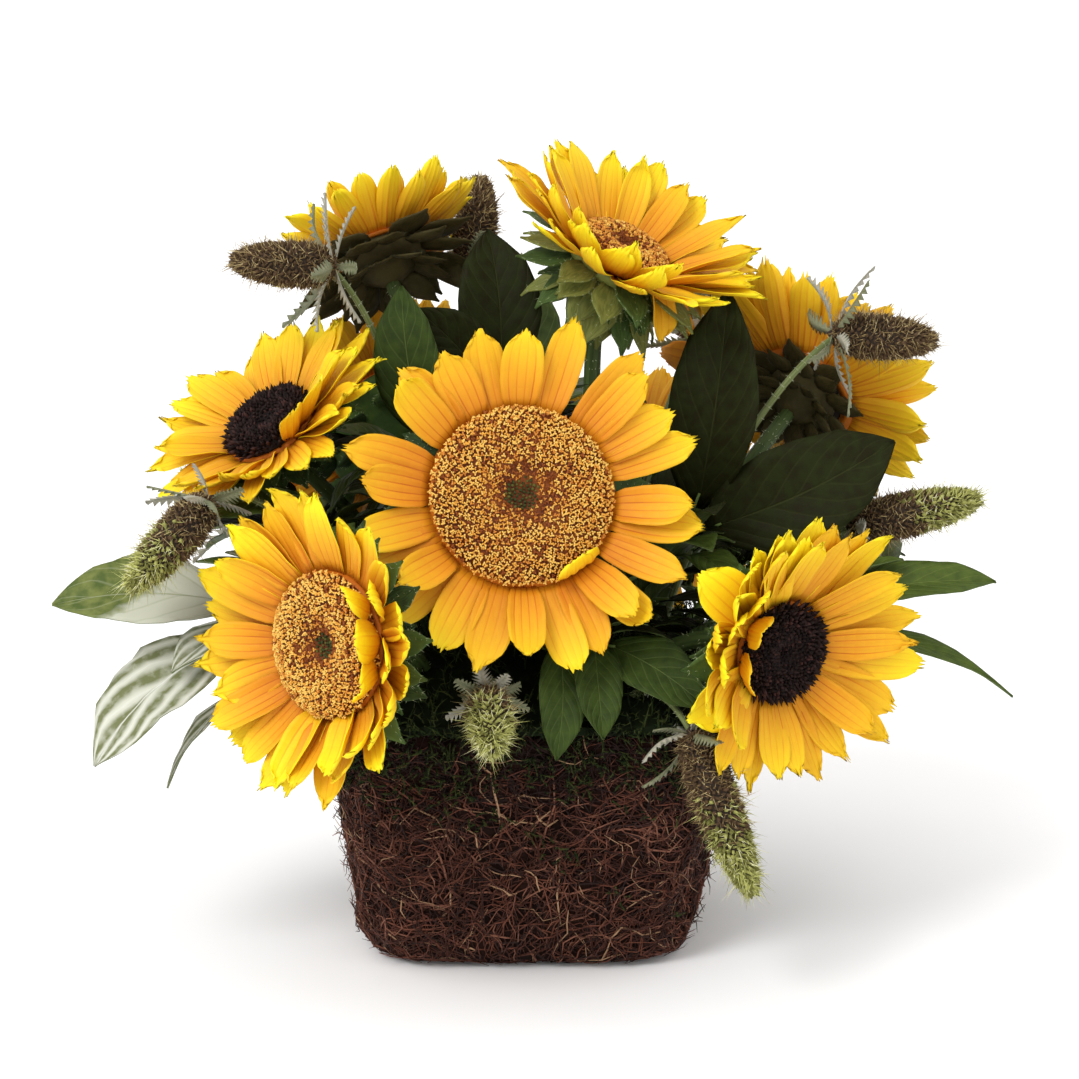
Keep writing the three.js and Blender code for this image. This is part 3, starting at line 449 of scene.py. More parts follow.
class Heap:
    """What one piece is made of, in millimetres. Each face has the number of its material, and each
    point its place in the grain, across and along. A triangle's fourth corner is -1."""

    def __init__(self):
        self.points, self.faces, self.tints, self.grain = [], [], [], []
        self.count = 0

    def add(self, points, faces, tints=0, grain=None):
        points = points.reshape(-1, 3)
        self.points.append(points)
        self.faces.append(np.where(faces < 0, -1, faces + self.count))
        self.tints.append(np.broadcast_to(tints, len(faces)))
        self.grain.append(np.zeros((len(points), 2)) if grain is None else grain.reshape(-1, 2))
        self.count += len(points)

    def add_copies(self, shape, axes, at, tints):
        """Copies of a template: axes is (copies, 3, 3), one row for each of its directions. Each copy, or
        each of its faces, has its own tint."""
        points, faces = shape
        placed = points @ axes + at[:, None]
        steps = np.arange(len(at))[:, None, None] * len(points)
        every = np.where(faces < 0, -1, faces + steps).reshape(-1, 4)
        tints = np.broadcast_to(tints.reshape(len(at), -1), (len(at), len(faces)))
        self.add(placed, every, tints.ravel())

    def add_shell(self, top, thickness, tints):
        """A thin closed shell under a grid of points: its top side, its underside, then its rim."""
        rows, columns = top.shape[:2]
        normal = unit(np.cross(np.gradient(top, axis=1), np.gradient(top, axis=0)))
        under = top - normal * np.broadcast_to(thickness, (rows, columns))[..., None]
        v, u = np.meshgrid(np.linspace(0, 1, rows), np.linspace(0, 1, columns), indexing="ij")
        self.add(np.concatenate([top, under]), shell_faces(rows, columns), tints,
                 np.stack([[u, u], [v, v]], -1))

    def add_tubes(self, paths, radii, tints, **shape):
        """Tubes that have a tint each."""
        points, faces = tubes(paths, radii, **shape)
        self.add(points, faces, np.repeat(tints, len(faces) // len(paths)))

    def add_lathe(self, place, profile, sides, tint):
        """A closed solid turned round a place's axis, with its profile from the axis' bottom to its top."""
        rings = np.array(profile, float)
        points = polar(rings[:, :1], round_turn(sides), rings[:, 1:])
        self.add(place(points), grid_faces(len(rings), sides, True), tint)


def build(name, heap, materials, nodes):
    """Makes a heap into a piece that stands for CAD nodes."""
    faces = np.concatenate(heap.faces)
    corners = faces[faces >= 0]
    sizes = (faces >= 0).sum(1)
    mesh = bpy.data.meshes.new(name)
    mesh.vertices.add(heap.count)
    mesh.loops.add(len(corners))
    mesh.polygons.add(len(faces))
    mesh.vertices.foreach_set("co", (np.concatenate(heap.points) * MM).astype(np.float32).ravel())
    mesh.loops.foreach_set("vertex_index", corners.astype(np.int32))
    mesh.polygons.foreach_set("loop_start", (np.cumsum(sizes) - sizes).astype(np.int32))
    mesh.polygons.foreach_set("material_index", np.concatenate(heap.tints).astype(np.int32))
    mesh.polygons.foreach_set("use_smooth", np.full(len(faces), True))
    grain = mesh.uv_layers.new(name="grain")
    grain.uv.foreach_set("vector", np.concatenate(heap.grain)[corners].astype(np.float32).ravel())
    mesh.update(calc_edges=True)
    mesh.validate()
    for material in materials:
        mesh.materials.append(material)
    piece = bpy.data.objects.new(name, mesh)
    scene.collection.objects.link(piece)
    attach(piece, "root")
    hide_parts(*nodes)


def named(kind, members):
    return [kind + one.name for one in members]


def bezier(foot, knee, via, end, steps):
    t = np.linspace(0, 1, steps)[:, None]
    a, b, c, d = (np.array(p, float) for p in ((*foot, STEM_FOOT), knee, via, end))
    return (1 - t) ** 3 * a + 3 * (1 - t) ** 2 * t * b + 3 * (1 - t) * t * t * c + t ** 3 * d


# What is packed, and what has room beside it

vertices = {name: np.array([v.co for v in node.data.vertices]) / MM for name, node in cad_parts.items()}
standing = [
    (name, vertices[name].min(0) - GAP, vertices[name].max(0) + GAP,
     BVHTree.FromPolygons(vertices[name].tolist(), [p.vertices[:] for p in node.data.polygons]))
    for name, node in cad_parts.items()
]


def packed(node, tries, tip):
    """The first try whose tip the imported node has, in a list, so that it grows here as it did there."""
    for one in tries:
        if np.linalg.norm(vertices[node] - tip(one), axis=1).min() < 0.1:
            return [one]
    return []


def tree_of(grid):
    return BVHTree.FromPolygons(grid.reshape(-1, 3).tolist(), grid_faces(*grid.shape[:2]).tolist())


def has_room(grid, own):
    """Whether a grid of points is clear of all that stands, apart from its own nodes."""
    low, high = grid.min((0, 1)), grid.max((0, 1))
    near = [tree for name, lo, hi, tree in standing
            if name not in own and (low < hi).all() and (high > lo).all()]
    return not near or not any(map(tree_of(grid).overlap, near))


def first_clear(grids, own, skip=0):
    """The first grid whose rows, apart from some first ones, have room. What is packed has no own nodes
    given, and has room anyway."""
    return next((grid for grid in grids if own is None or has_room(grid[skip:], own)), None)


def stand(grid, name):
    standing.append((name, grid.min((0, 1)), grid.max((0, 1)), tree_of(grid)))


# Hairs and stems

rng = np.random.default_rng(24)
any_turn = functools.partial(rng.uniform, 0, 6.28)


def axes_along(way, spin, scale):
    """One row of directions for each copy: its Z along way, turned about it by spin."""
    ref = np.where(np.abs(way[:, 2:]) < 0.8, (0, 0, 1), (1, 0, 0))
    x = unit(np.cross(ref, way))
    y = np.cross(way, x)
    c, s = np.cos(spin)[:, None], np.sin(spin)[:, None]
    return np.stack([x * c + y * s, y * c - x * s, way], 1) * np.asarray(scale).reshape(-1, 1, 1)


def pyramid(sides, rings, tip):
    """A pointed shape of unit size round +Z, open at its hidden foot, with rings of radius and height."""
    rings = np.array(rings, float)
    points = polar(rings[:, :1], round_turn(sides), rings[:, 1:]).reshape(-1, 3)
    last = (len(rings) - 1) * sides
    fan = [[last + i, last + (i + 1) % sides, last + sides, -1] for i in range(sides)]
    faces = np.array([*grid_faces(len(rings), sides, True), *fan])
    return np.concatenate([points, [[0, 0, tip]]]), faces


def hairs(heap, roots, out, length, radius, tint, lean=0.5):
    """Fine tapering hairs on roots, each along its own way out with some lean at random."""
    way = unit(out + lean * rng.normal(size=roots.shape))
    axes = axes_along(way, any_turn(len(roots)), 1)
    axes *= np.array([radius, radius, length])[:, None]
    axes[:, 2] *= rng.uniform(0.6, 1.3, (len(roots), 1))
    heap.add_copies(pyramid(3, [(1, -0.05)], 1), axes, roots, np.full(len(roots), tint))


def grow_stem(heap, path, thick, taper, tint, hair, per_mm):
    """A ribbed stem along a path, in one tint, and its hairs, in the next."""
    steps, sides = len(path), 16
    points, faces = tubes(path[None], np.linspace(thick, thick * taper, steps), sides, lobes=8, lobe=0.06)
    grain = np.stack(np.broadcast_arrays(np.arange(sides) / sides, np.linspace(0, 1, steps)[:, None]), -1)
    heap.add(points, faces, tint, grain)
    count = int(np.linalg.norm(np.diff(path, axis=0), axis=1).sum() * per_mm)
    at, spot = rng.integers(2, steps - 1, count), rng.integers(0, sides, count)
    roots = points[0, at, spot] * 0.5 + points[0, at - 1, spot] * 0.5
    out = unit(roots - path[at] * 0.5 - path[at - 1] * 0.5)
    hairs(heap, roots, out, hair, radius=0.16, tint=tint + 1)


stems = Heap()
for f in FLOWERS:
    ahead = unit(f.face)
    end = np.array(f.at) - (CUP_DEPTH + GAP) * ahead
    path = bezier(f.foot, f.knee, end - f.neck * ahead, end + 2 * ahead, steps=34)
    grow_stem(stems, path, STEM_RADIUS, STEM_TAPER, tint=0, hair=1.3, per_mm=1.6)
build("flower_stems", stems, [
    finish("stem_green", 0x4C5E2E, (0.45, 0.65), 26, 0.35, 0.5, 0x384820, along=3),
    finish("stem_hair", 0xC9D3A4, (0.5, 0.7), 900),
], named("stem_", FLOWERS))

# Sunflowers

PETAL_STEPS = 10
PETAL_SHARES = np.linspace(0, 1, PETAL_STEPS + 1) ** 0.85
GROOVES = (-0.6, -0.2, 0.22, 0.62)
GROOVE_HALF = 0.035
PETAL_SIDES = np.sort(
    [-1, -0.82, -0.4, 0, 0.42, 0.82, 1] + [g + h for g in GROOVES for h in (-GROOVE_HALF, GROOVE_HALF)])
IN_GROOVE = np.abs(PETAL_SIDES[:, None] - GROOVES) < 2 * GROOVE_HALF
WIDTH_AT = [0, 0.12, 0.36, 0.6, 0.8, 0.92, 1]
BLUNT_WIDTHS = [0.64, 0.84, 0.98, 1, 0.95, 0.8, 0.56]
SHARP_WIDTHS = [0.6, 0.8, 0.97, 1, 0.82, 0.5, 0.14]
SOURCE_SHARES = np.array([0, 0.36, 0.76, 1])
SOURCE_THICKNESS = 0.3
RING_SIDES = 60
PETAL_SHADES = 32
PETAL_RAMP = [0xB8620E, 0xD07E12, 0xDE9A18, 0xE8B41A, 0xF2D01A, 0xFAE81C]


def petal_route(length, shares, slopes):
    """How far a petal has gone out and ahead at each share of its length, for its slope in degrees."""
    middle = np.radians((slopes[1:] + slopes[:-1]) / 2)
    steps = np.diff(shares) * length
    return np.cumsum([0, *np.cos(middle) * steps]), np.cumsum([0, *np.sin(middle) * steps])


def petal_tip(root, length, rise, bend, twist):
    """Where the source's coarser petal ends, in the flower's own frame."""
    out, ahead = petal_route(length, SOURCE_SHARES, rise + bend * SOURCE_SHARES)
    slope, roll = math.radians(rise + bend), math.radians(twist)
    r, z = root[0] + out[-1], root[1] + ahead[-1]
    aside, lift = SOURCE_THICKNESS * math.sin(roll), SOURCE_THICKNESS * math.cos(roll)
    return np.array([r - lift * math.sin(slope), -aside, z + lift * math.cos(slope)])


def groove_depths(seed):
    """How deep each groove of a petal is, as a share, at each of its points across."""
    return IN_GROOVE @ np.array([0.35 + 0.65 * random(seed + 0.51 + 0.017 * k) for k in range(len(GROOVES))])


def petal_grid(root, length, wide, rise, bend, twist, seed, blunt=0.5, fold=0.0):
    """A petal's top side, along +X from its root at (radius, height), before it is turned round +Z.
    blunt is how likely its tip is to be square."""
    u, share = PETAL_SIDES, PETAL_SHARES[:, None]
    deep = groove_depths(seed)
    blunt = random(seed + 0.75) ** (0.5 / blunt)
    tip_curl = 30 * spread(seed + 0.71) + (36 if random(seed + 0.76) > 0.82 else 0)
    fine = np.linspace(0, 1, 41)
    slopes = rise + bend * fine + tip_curl * np.clip((fine - 0.55) / 0.45, 0, 1) ** 1.6
    out, ahead = petal_route(length, fine, slopes)
    teeth = np.array([random(seed + 0.013 * c) for c in range(len(u))])
    cut = (0.1 + 0.1 * random(seed + 0.77)) * np.abs(u) ** 2.4
    cut = cut + (0.05 * teeth + 0.06 * deep) * (1 - np.abs(u) ** 3)
    s = share * (1 - cut * share ** 3)
    slope = np.radians(np.interp(s, fine, slopes))
    sway = 0.08 * length * spread(seed + 0.72) * s * s
    r, z = root[0] + np.interp(s, fine, out), root[1] + np.interp(s, fine, ahead)
    sharp, square = (np.interp(PETAL_SHARES, WIDTH_AT, w) for w in (SHARP_WIDTHS, BLUNT_WIDTHS))
    aside = 0.5 * wide * (sharp + blunt * (square - sharp))[:, None] * u
    body = np.minimum(1, 5 * share + 0.1) * (1 - 0.5 * share ** 2)
    waves = np.sin(8 * share + 6 * random(seed + 0.73) + 1.8 * u)
    lift = (0.3 + 2 * random(seed + 0.74)) * u ** 2 - 0.75 * deep
    lift = (lift + 0.5 * waves * np.abs(u) ** 1.5) * body + fold * np.abs(aside)
    roll = np.radians(twist) * s
    across, over = aside * np.cos(roll) + lift * np.sin(roll), lift * np.cos(roll) - aside * np.sin(roll)
    return np.stack([r - over * np.sin(slope), -across - sway, z + over * np.cos(slope)], -1)


def add_petal(heap, grid, seed, tones):
    """Adds a petal, and deals it shades from the deep one at its root to the bright one at its tip."""
    rows, columns = grid.shape[:2]
    v = np.linspace(0, 1, rows - 1)[:, None]
    streak = np.array([spread(seed + 0.31 * c + 0.05) for c in range(columns - 1)])
    deep = groove_depths(seed)
    # Faces in a groove are dealt darker tones, most towards the root: painted shade in the creases.
    painted_crease_shade = 0.27 * deep[1:] * (deep[1:] == deep[:-1])
    level = tones[0] + (tones[1] - tones[0]) * v - painted_crease_shade * (1.1 - 0.8 * v) + 0.02 * streak
    flat, under = (np.clip(x, 0, 0.999) * PETAL_SHADES for x in (level, level - 0.08))
    edge = np.full(2 * (rows + columns - 2), min(tones[1], 0.99) * PETAL_SHADES)
    tints = np.concatenate([flat.ravel(), under.ravel(), edge]).astype(int)
    heap.add_shell(grid, 0.5 - 0.25 * PETAL_SIDES ** 2, tints)


def widest_gap(turns):
    """The middle of the widest gap between directions."""
    turns = np.sort(np.mod(turns, 2 * math.pi))
    gaps = np.diff(turns, append=turns[0] + 2 * math.pi)
    return turns[gaps.argmax()] + gaps.max() / 2


def grow_petals(heap, f):
    """The source's two rows of petals, extras in the gaps between, and petals in a way of their own."""
    node, reach = "petals_" + f.name, f.span - f.disk
    outer, low, high = f.disk + HEAD_MARGIN, GAP, GAP + RING_HEIGHT
    inner = outer - RING_WIDTH
    ring = [(inner, high), (inner, low), (outer, low), (outer - 3, high), (inner, high)]
    heap.add_lathe(f.place, ring, RING_SIDES, 2)
    curl_at, short_at = math.radians(f.curl_at), math.radians(f.short_at)
    grown = []
    for row, count in enumerate((OUTER_PETALS, INNER_PETALS, f.extras)):
        for i in range(count):
            extra, key = row == 2, f.seed + 40 * row + i
            turn = widest_gap(grown) if extra else (
                2 * math.pi * (i + 0.5 - 0.5 * row + 0.18 * spread(key + 0.1)) / count)
            grown.append(turn)
            side = max(0, math.cos(turn - curl_at))
            cut = 1 - f.short * max(0, math.cos(turn - short_at))
            length = reach * (1 - 0.08 * min(row, 1)) * cut * (1 + 0.08 * spread(key + 0.2))
            wide = PETAL_WIDTH * reach * f.slim * (1 + 0.12 * spread(key + 0.3))
            lifted = 8 + f.lift * (1 - side)
            rise = f.cup + (0, 14, (lifted, -5)[i % 2])[row] + 4 * spread(key + 0.4)
            bend = f.bend + f.curl * side + 8 * spread(key + 0.5)
            twist = 14 * spread(key + 0.6)
            root = (f.disk + 0.4, GAP + 0.6 + (0, 0.3, 0.15)[row])
            tries = [(rise + more * 0.5, bend + more) for more in PETAL_TRIES]
            if not extra:
                tries = packed(node, tries, lambda t: f.place(petal_tip(root, length, *t, twist), turn))
            fold = 0 if extra else f.fold * side ** 2 * (random(key + 0.95) > 0.35)
            grids = (petal_grid(root, length, wide, *t, twist, key, f.blunt, fold) for t in tries)
            grid = first_clear((f.place(grid, turn) for grid in grids), f.own if extra else None)
            if grid is not None:
                light = f.vary * spread(key + 0.8) + f.glow * side
                add_petal(heap, grid, key, (f.tones[0] + 0.5 * light, f.tones[1] + light))
                if extra:
                    stand(grid, node)
    for k, (at, length, wide, rise, bend, fold, bright) in enumerate(f.singles):
        root, key = (f.disk + 0.2, GAP + RING_HEIGHT), f.seed + 150 + k
        grid = petal_grid(root, length, wide, rise, bend, 0, key, 1, fold)
        add_petal(heap, f.place(grid, math.radians(at)), key, (0.6 * bright, bright))


def ramp(codes, count):
    """Colours that lead evenly through some hexadecimal ones."""
    at, stops = np.linspace(0, len(codes) - 1, count), np.array([channels(code) for code in codes])
    parts = [np.interp(at, np.arange(len(codes)), c).astype(int).tolist() for c in stops.T]
    return [r << 16 | g << 8 | b for r, g, b in zip(*parts)]


shades = ramp(PETAL_RAMP, PETAL_SHADES)
shades = shades[:1] + shades + shades[-1:]
petal_finishes = [petal_finish(f"petal_{k}", *shades[k:k + 3]) for k in range(PETAL_SHADES)]
for k, f in enumerate(FLOWERS):
    f.own = [kind + f.name for kind in ("petals_", "calyx_", "disk_", "stem_")]
    f.place, f.seed = Place(f.at, f.face), 1 + 100 * k
for name, members in (("petals_near", FLOWERS[:4]), ("petals_far", FLOWERS[4:])):
    petals = Heap()
    for f in members:
        grow_petals(petals, f)
    build(name, petals, petal_finishes, named("petals_", members))

# Sepals and cups

CUP_SIDES = 40
SEPAL_SHARES = np.linspace(0, 1, 8)
SEPAL_SIDES = np.linspace(-1, 1, 5)
SEPAL_WIDTHS = np.interp(SEPAL_SHARES, [0, 0.25, 0.5, 0.7, 0.85, 1], [0.55, 0.92, 1, 0.62, 0.24, 0.04])
SEPAL_TINTS = {None: (0, 1, 2, 6), "dark": (3, 4, 3, 7), "light": (5, 5, 0, 6)}
SEPAL_ROWS = [(SEPALS, 1, 0), (SEPALS + 3, 0.86, 0.37), (SEPALS + 2, 0.72, 0.71), (SEPALS + 4, 1, 0.1),
              (SEPALS + 1, 0.9, 0.5)]


def sepal_tip(disk, length, droop):
    first, last = math.radians(-6 - 0.4 * droop), math.radians(-6 - droop)
    half = length * 0.5
    return np.array([disk + half * (math.cos(first) + math.cos(last)), 0,
                     -1.5 + half * (math.sin(first) + math.sin(last))])


def sepal_grid(root, length, first, last, hook, seed):
    """A sepal's top side, along +X from its root, from its first slope to its last and hooked at its tip."""
    fine = np.linspace(0, 1, 25)
    slopes = np.interp(fine, [0, 0.35, 0.65, 0.8, 1], [first, first, last, last, last + hook])
    out, ahead = petal_route(length, fine, slopes)
    slope = np.radians(np.interp(SEPAL_SHARES, fine, slopes))[:, None]
    r, z = root[0] + np.interp(SEPAL_SHARES, fine, out), root[1] + np.interp(SEPAL_SHARES, fine, ahead)
    widths = SEPAL_WIDTHS[:, None]
    aside = 0.3 * length * widths * SEPAL_SIDES
    lift = (0.5 + 0.8 * random(seed)) * SEPAL_SIDES ** 2 * widths - 0.25 * (np.abs(SEPAL_SIDES) < 0.1)
    sway = 0.08 * length * spread(seed + 0.5) * SEPAL_SHARES[:, None] ** 2
    return np.stack([r[:, None] - lift * np.sin(slope), -aside - sway, z[:, None] + lift * np.cos(slope)], -1)


def add_sepal(heap, grid, tint, hair):
    heap.add_shell(grid, thickness=0.55, tints=tint)
    edge = np.concatenate([grid[1:-1, 0], grid[1:-1, -1], grid[2:-1, 1] * 0.5 + grid[2:-1, 2] * 0.5])
    out = unit(edge - grid[1:-1, 2].mean(0))
    hairs(heap, np.repeat(edge, 2, 0), np.repeat(out, 2, 0), length=1.5, radius=0.1, tint=hair, lean=0.6)


calyces = Heap()
for f in FLOWERS:
    disk, slight, greens = f.disk, f.slight, SEPAL_TINTS[f.sepals]
    cup = [(0, -CUP_DEPTH), (STEM_RADIUS, -CUP_DEPTH), (disk * 0.3, -11.6), (disk * 0.6, -8.2),
           (disk * 0.86, -5.6), (disk + 1.6, -3.6), (disk + 2, -1.8), (disk + 2, 0), (0, 0)]
    calyces.add_lathe(f.place, [(r * slight, z) for r, z in cup], CUP_SIDES, greens[1])
    for row, (count, scale, offset) in enumerate(SEPAL_ROWS[:5 if f.sepals == "light" else 3]):
        for i in range(count):
            key = f.seed + 9 * row + i
            turn = 2 * math.pi * (i + offset + 0.2 * spread(key + 0.7)) / count
            length = f.sepal * scale * (1 + 0.12 * spread(key + 0.8))
            hook = 30 * spread(key + 0.9) - 10
            if row == 0:
                droops = packed("calyx_" + f.name, SEPAL_TRIES,
                                lambda droop: f.place(sepal_tip(disk, length, droop), turn))
                slopes = [(-6 - 0.4 * droop, -6 - droop) for droop in droops]
                root = (disk * slight, -1.5)
            else:
                root = ((disk + 0.6) * slight, -3.4) if row == 1 else (disk * 0.7 * slight, -7)
                start = (-24, -36, -58, -70)[row - 1]
                slopes = [(start, start + 14 - more) for more in (0, 20, 40)]
            grids = (f.place(sepal_grid(root, length * slight, *s, hook, f.seed + i), turn) for s in slopes)
            grid = first_clear(grids, f.own if row else None, 3)
            if grid is not None:
                add_sepal(calyces, grid, greens[(row + i) % 3], greens[3])
build("calyces", calyces, [
    finish("sepal_green", 0x4B6228, (0.5, 0.75), 30, 0.35, 0.6, 0x3B501F, along=3),
    finish("cup_green", 0x3A5224, (0.55, 0.8), 700, 0.4, 0.6, 0x4C6529),
    finish("sepal_deep", 0x2A3D1A, (0.5, 0.75), 30, 0.35, 0.6, 0x3A5224, along=3),
    finish("sepal_black", 0x3A3417, (0.55, 0.8), 30, 0.35, 0.6, 0x4A4022, along=3, shine=0.15),
    finish("cup_black", 0x3E371D, (0.55, 0.8), 700, 0.4, 0.6, 0x4E4628, shine=0.15),
    finish("sepal_light", 0x80843E, (0.5, 0.75), 30, 0.35, 0.6, 0x687032, along=3),
    *finishes((0.5, 0.7), 900, 0.3, sepal_hair=0xAAB588, sepal_down=0x4A4E34),
], named("calyx_", FLOWERS))

# Disks of florets

FLORET_PITCH = 1.62
BUD = pyramid(4, [(0.42, -0.9), (0.52, 0.4)], 1.3)
DISK_SIDES = 48
DISK_RISE = np.array([
    (0, 0.5), (0.14, 0.8), (0.26, 3), (0.42, 5), (0.62, 5.4), (0.8, 4.4), (0.93, 2.8), (1, 0.6)])


def floret():
    """An open floret of unit size: a short column with three arms that curl out of its top."""
    turn = round_turn(3)
    column = polar(0.26, turn, np.array([[-0.9], [0.4]])).reshape(-1, 3)
    arm = np.array([(0.06, 0, 0.2), (0.28, 0, 0.78), (0.5, 0, 0.6)])
    arms = np.stack([turned(arm, t + 0.5) for t in turn])
    points, faces = tubes(arms, np.array([0.2, 0.22, 0.1]), capped=False)
    faces = np.where(faces < 0, -1, faces + 6)
    faces = np.concatenate([grid_faces(2, 3, True), [[3, 4, 5, -1]], faces])
    return np.concatenate([column, points.reshape(-1, 3)]), faces


def dealt(pick, *shares):
    """Numbers 0, 1, 2 … dealt out by a random pick, with the share that each may have up to."""
    return np.searchsorted(shares, pick)


def grow_disk(heap, f):
    disk, place = f.disk, f.place
    rim, neck = 2 * GAP + RING_HEIGHT, disk - 3.4
    base = [(0, GAP), (neck, GAP), (neck, rim), (disk - 0.3, rim)]
    base += [(max(r * disk - 0.6, 0), rim + z) for r, z in DISK_RISE[:0:-1]] + [(0, rim + 0.5)]
    heap.add_lathe(place, base, DISK_SIDES, 0)
    pitch = FLORET_PITCH * (0.9 if f.dark else 1)
    count = int(math.pi * disk ** 2 / (0.866 * pitch ** 2))
    i = np.arange(count)
    share = np.sqrt((i + 0.5) / count)
    turn = i * GOLDEN_TURN
    z, before, after = (np.interp(share + step, *DISK_RISE.T) for step in (0, -0.03, 0.03))
    tilt = np.clip((after - before) / (0.06 * disk), -1.4, 1.4)
    way = unit(polar(-tilt, turn, 1) + rng.normal(scale=0.25, size=(count, 3)))
    at = place(polar(1.01 * share * disk, turn, rim + z))
    pick, other = rng.random(count), rng.random(count) ** (1 - f.rusty)
    scale = pitch * rng.uniform(0.85, 1.2, count) * np.interp(share, [0, 0.2, 0.5, 1], [0.7, 0.85, 1, 1.1])
    axes = axes_along(way @ place.axes, any_turn(count), scale)
    if f.dark:
        closed = (pick < 0.6) | (share < 0.5)
        tints = arms = 1 + dealt(other, 0.5, 0.85)
        axes[:, 2] *= np.interp(share, [0, 0.7, 1], [1, 1.2, 1.9])[:, None]
    else:
        closed = share < 0.16 + 0.06 * pick
        ring = share < 0.28 + 0.14 * pick
        arms = np.where(ring, 2 + dealt(other, 0.25, 0.5, 0.8), 1 + dealt(other, 0.42, 0.8, 0.93))
        tints = np.where(closed, 7 + dealt(other, 0.35), np.where(ring, 6, 5))
    petal = floret()
    each = np.where(np.arange(len(petal[1])) < 4, tints[~closed, None], arms[~closed, None])
    heap.add_copies(petal, axes[~closed], at[~closed], each)
    heap.add_copies(BUD, axes[closed], at[closed], tints[closed])


tan, dark = ([f for f in FLOWERS if f.dark == shade] for shade in (False, True))
tan_disks, dark_disks = Heap(), Heap()
for f in FLOWERS:
    grow_disk(dark_disks if f.dark else tan_disks, f)
build("tan_disks", tan_disks, [
    finish("disk_shadow", 0x5C2A0E, (0.7, 0.9), 700, 0.4, 0.6, 0x7C4016),
    *finishes((0.5, 0.75), 1200, 0.25, floret_gold=0xFACB66, floret_tan=0xEEB04A),
    *finishes((0.55, 0.8), 1200, 0.25, floret_amber=0xD88E38, floret_rust=0x96501E),
    *finishes((0.55, 0.8), 1200, 0.2, floret_brown=0x84400F, floret_plum=0x6A3420),
    *finishes((0.5, 0.75), 1200, 0.2, floret_moss=0x5C5A26, floret_green=0x38401C),
], named("disk_", tan))
build("dark_disks", dark_disks, [
    finish("dark_shadow", 0x120807, (0.75, 0.95), 700, 0.4, 0.6, 0x1C0E0A),
    *finishes((0.5, 0.8), 1200, 0.15, floret_black=0x170B09),
    *finishes((0.5, 0.8), 1200, 0.2, floret_umber=0x24120E, floret_wine=0x3A201B),
], named("disk_", dark))

# Sea hollies

CONE_ROWS = np.array([(0, 0.35), (0.06, 0.7), (0.25, 1), (0.5, 1), (0.72, 0.85), (0.9, 0.55), (1, 0.2)])
CONE_CORE = CONE_RADIUS * 0.92
CONE_SIDES = 18
SPINE_PITCH = 2.2
# The length, radius and lean of a bud's bristles, and how likely it is to have each
BRISTLES = ((8.6, 0.2, 0.4, 0.3), (4.4, 0.26, 0.5, 1), (3.2, 0.3, 0.9, 1))
BRACT_STEPS = 19
SMALL_BRACTS = 4
SMALL_TILTS = (-24, -8, 6)


def tilted(tilt):
    """+X, turned up by an angle."""
    return np.array([math.cos(tilt), 0, math.sin(tilt)])


def bract_grid(length, tilt, seed):
    """A narrow bract with long spines along both edges, along +X from the cone's foot."""
    s = np.linspace(0, 1, BRACT_STEPS)[:, None]
    spiny = (np.arange(BRACT_STEPS) % 2 == 1)[:, None]
    along = tilted(tilt)
    over = np.array([-along[2], 0, along[0]])
    sides = np.array([-1, -0.3, 0, 0.3, 1])
    outer = spiny * (np.abs(sides) == 1)
    long = np.interp(s, [0, 0.12, 0.3, 0.9, 1], [0, 0.3, 1, 0.7, 0]) * (0.7 + 0.6 * random(seed + 0.8))
    half = np.interp(s, [0, 0.1, 0.4, 0.8, 1], [0.4, 0.8, 1.05, 0.6, 0.1]) + 2.6 * outer * long
    bow = 3 * spread(seed + 0.4) * np.sin(s * math.pi) + 0.3 * np.abs(sides) + 1.2 * outer * long
    reach = 1.6 + (length - 1.6) * s + 2 * outer * long
    return along * reach[..., None] + over * bow[..., None] - np.array([0, 1, 0]) * (half * sides)[..., None]


def grow_cone(heap, place, length, ripe):
    """A cone of buds, each with bristles, brown up to its ripe share and green from there."""
    profile = [(0, -3), (1.6, -1)] + [(r, z) for z, r in CONE_ROWS * (length, CONE_CORE)] + [(0, length)]
    heap.add_lathe(place, profile, CONE_SIDES, 0)
    count = int(2 * math.pi * CONE_RADIUS * length / (0.866 * SPINE_PITCH ** 2) * 1.15)
    i = np.arange(count)
    share = (i + 0.5) / count
    turn = i * GOLDEN_TURN
    way = polar(1, turn, np.interp(share, [0, 0.5, 0.85, 1], [-0.1, 0.4, 1, 2.4]))
    way = unit(way + rng.normal(scale=0.2, size=way.shape)) @ place.axes
    at = place(polar(np.interp(share, *CONE_ROWS.T) * CONE_CORE, turn, share * length))
    pick = rng.random(count)
    green = share + 0.4 * (rng.random(count) - 0.5) * (ripe < 1) > ripe
    heap.add_copies(BUD, axes_along(way, turn, 1.5 * rng.uniform(0.7, 1.3, count)), at,
                    np.where(green, 6 + dealt(pick, 0.5), 1 + dealt(pick, 0.6)))
    tints = np.where(green, 7, 3) + dealt(pick, 0.35, 0.75)
    for tint in (3, 4, 5, 7, 8, 9):
        for long, thick, lean, kept in BRISTLES:
            these = (tints == tint) & (rng.random(count) < kept)
            if these.any():
                hairs(heap, at[these], way[these], long, thick, tint, lean)


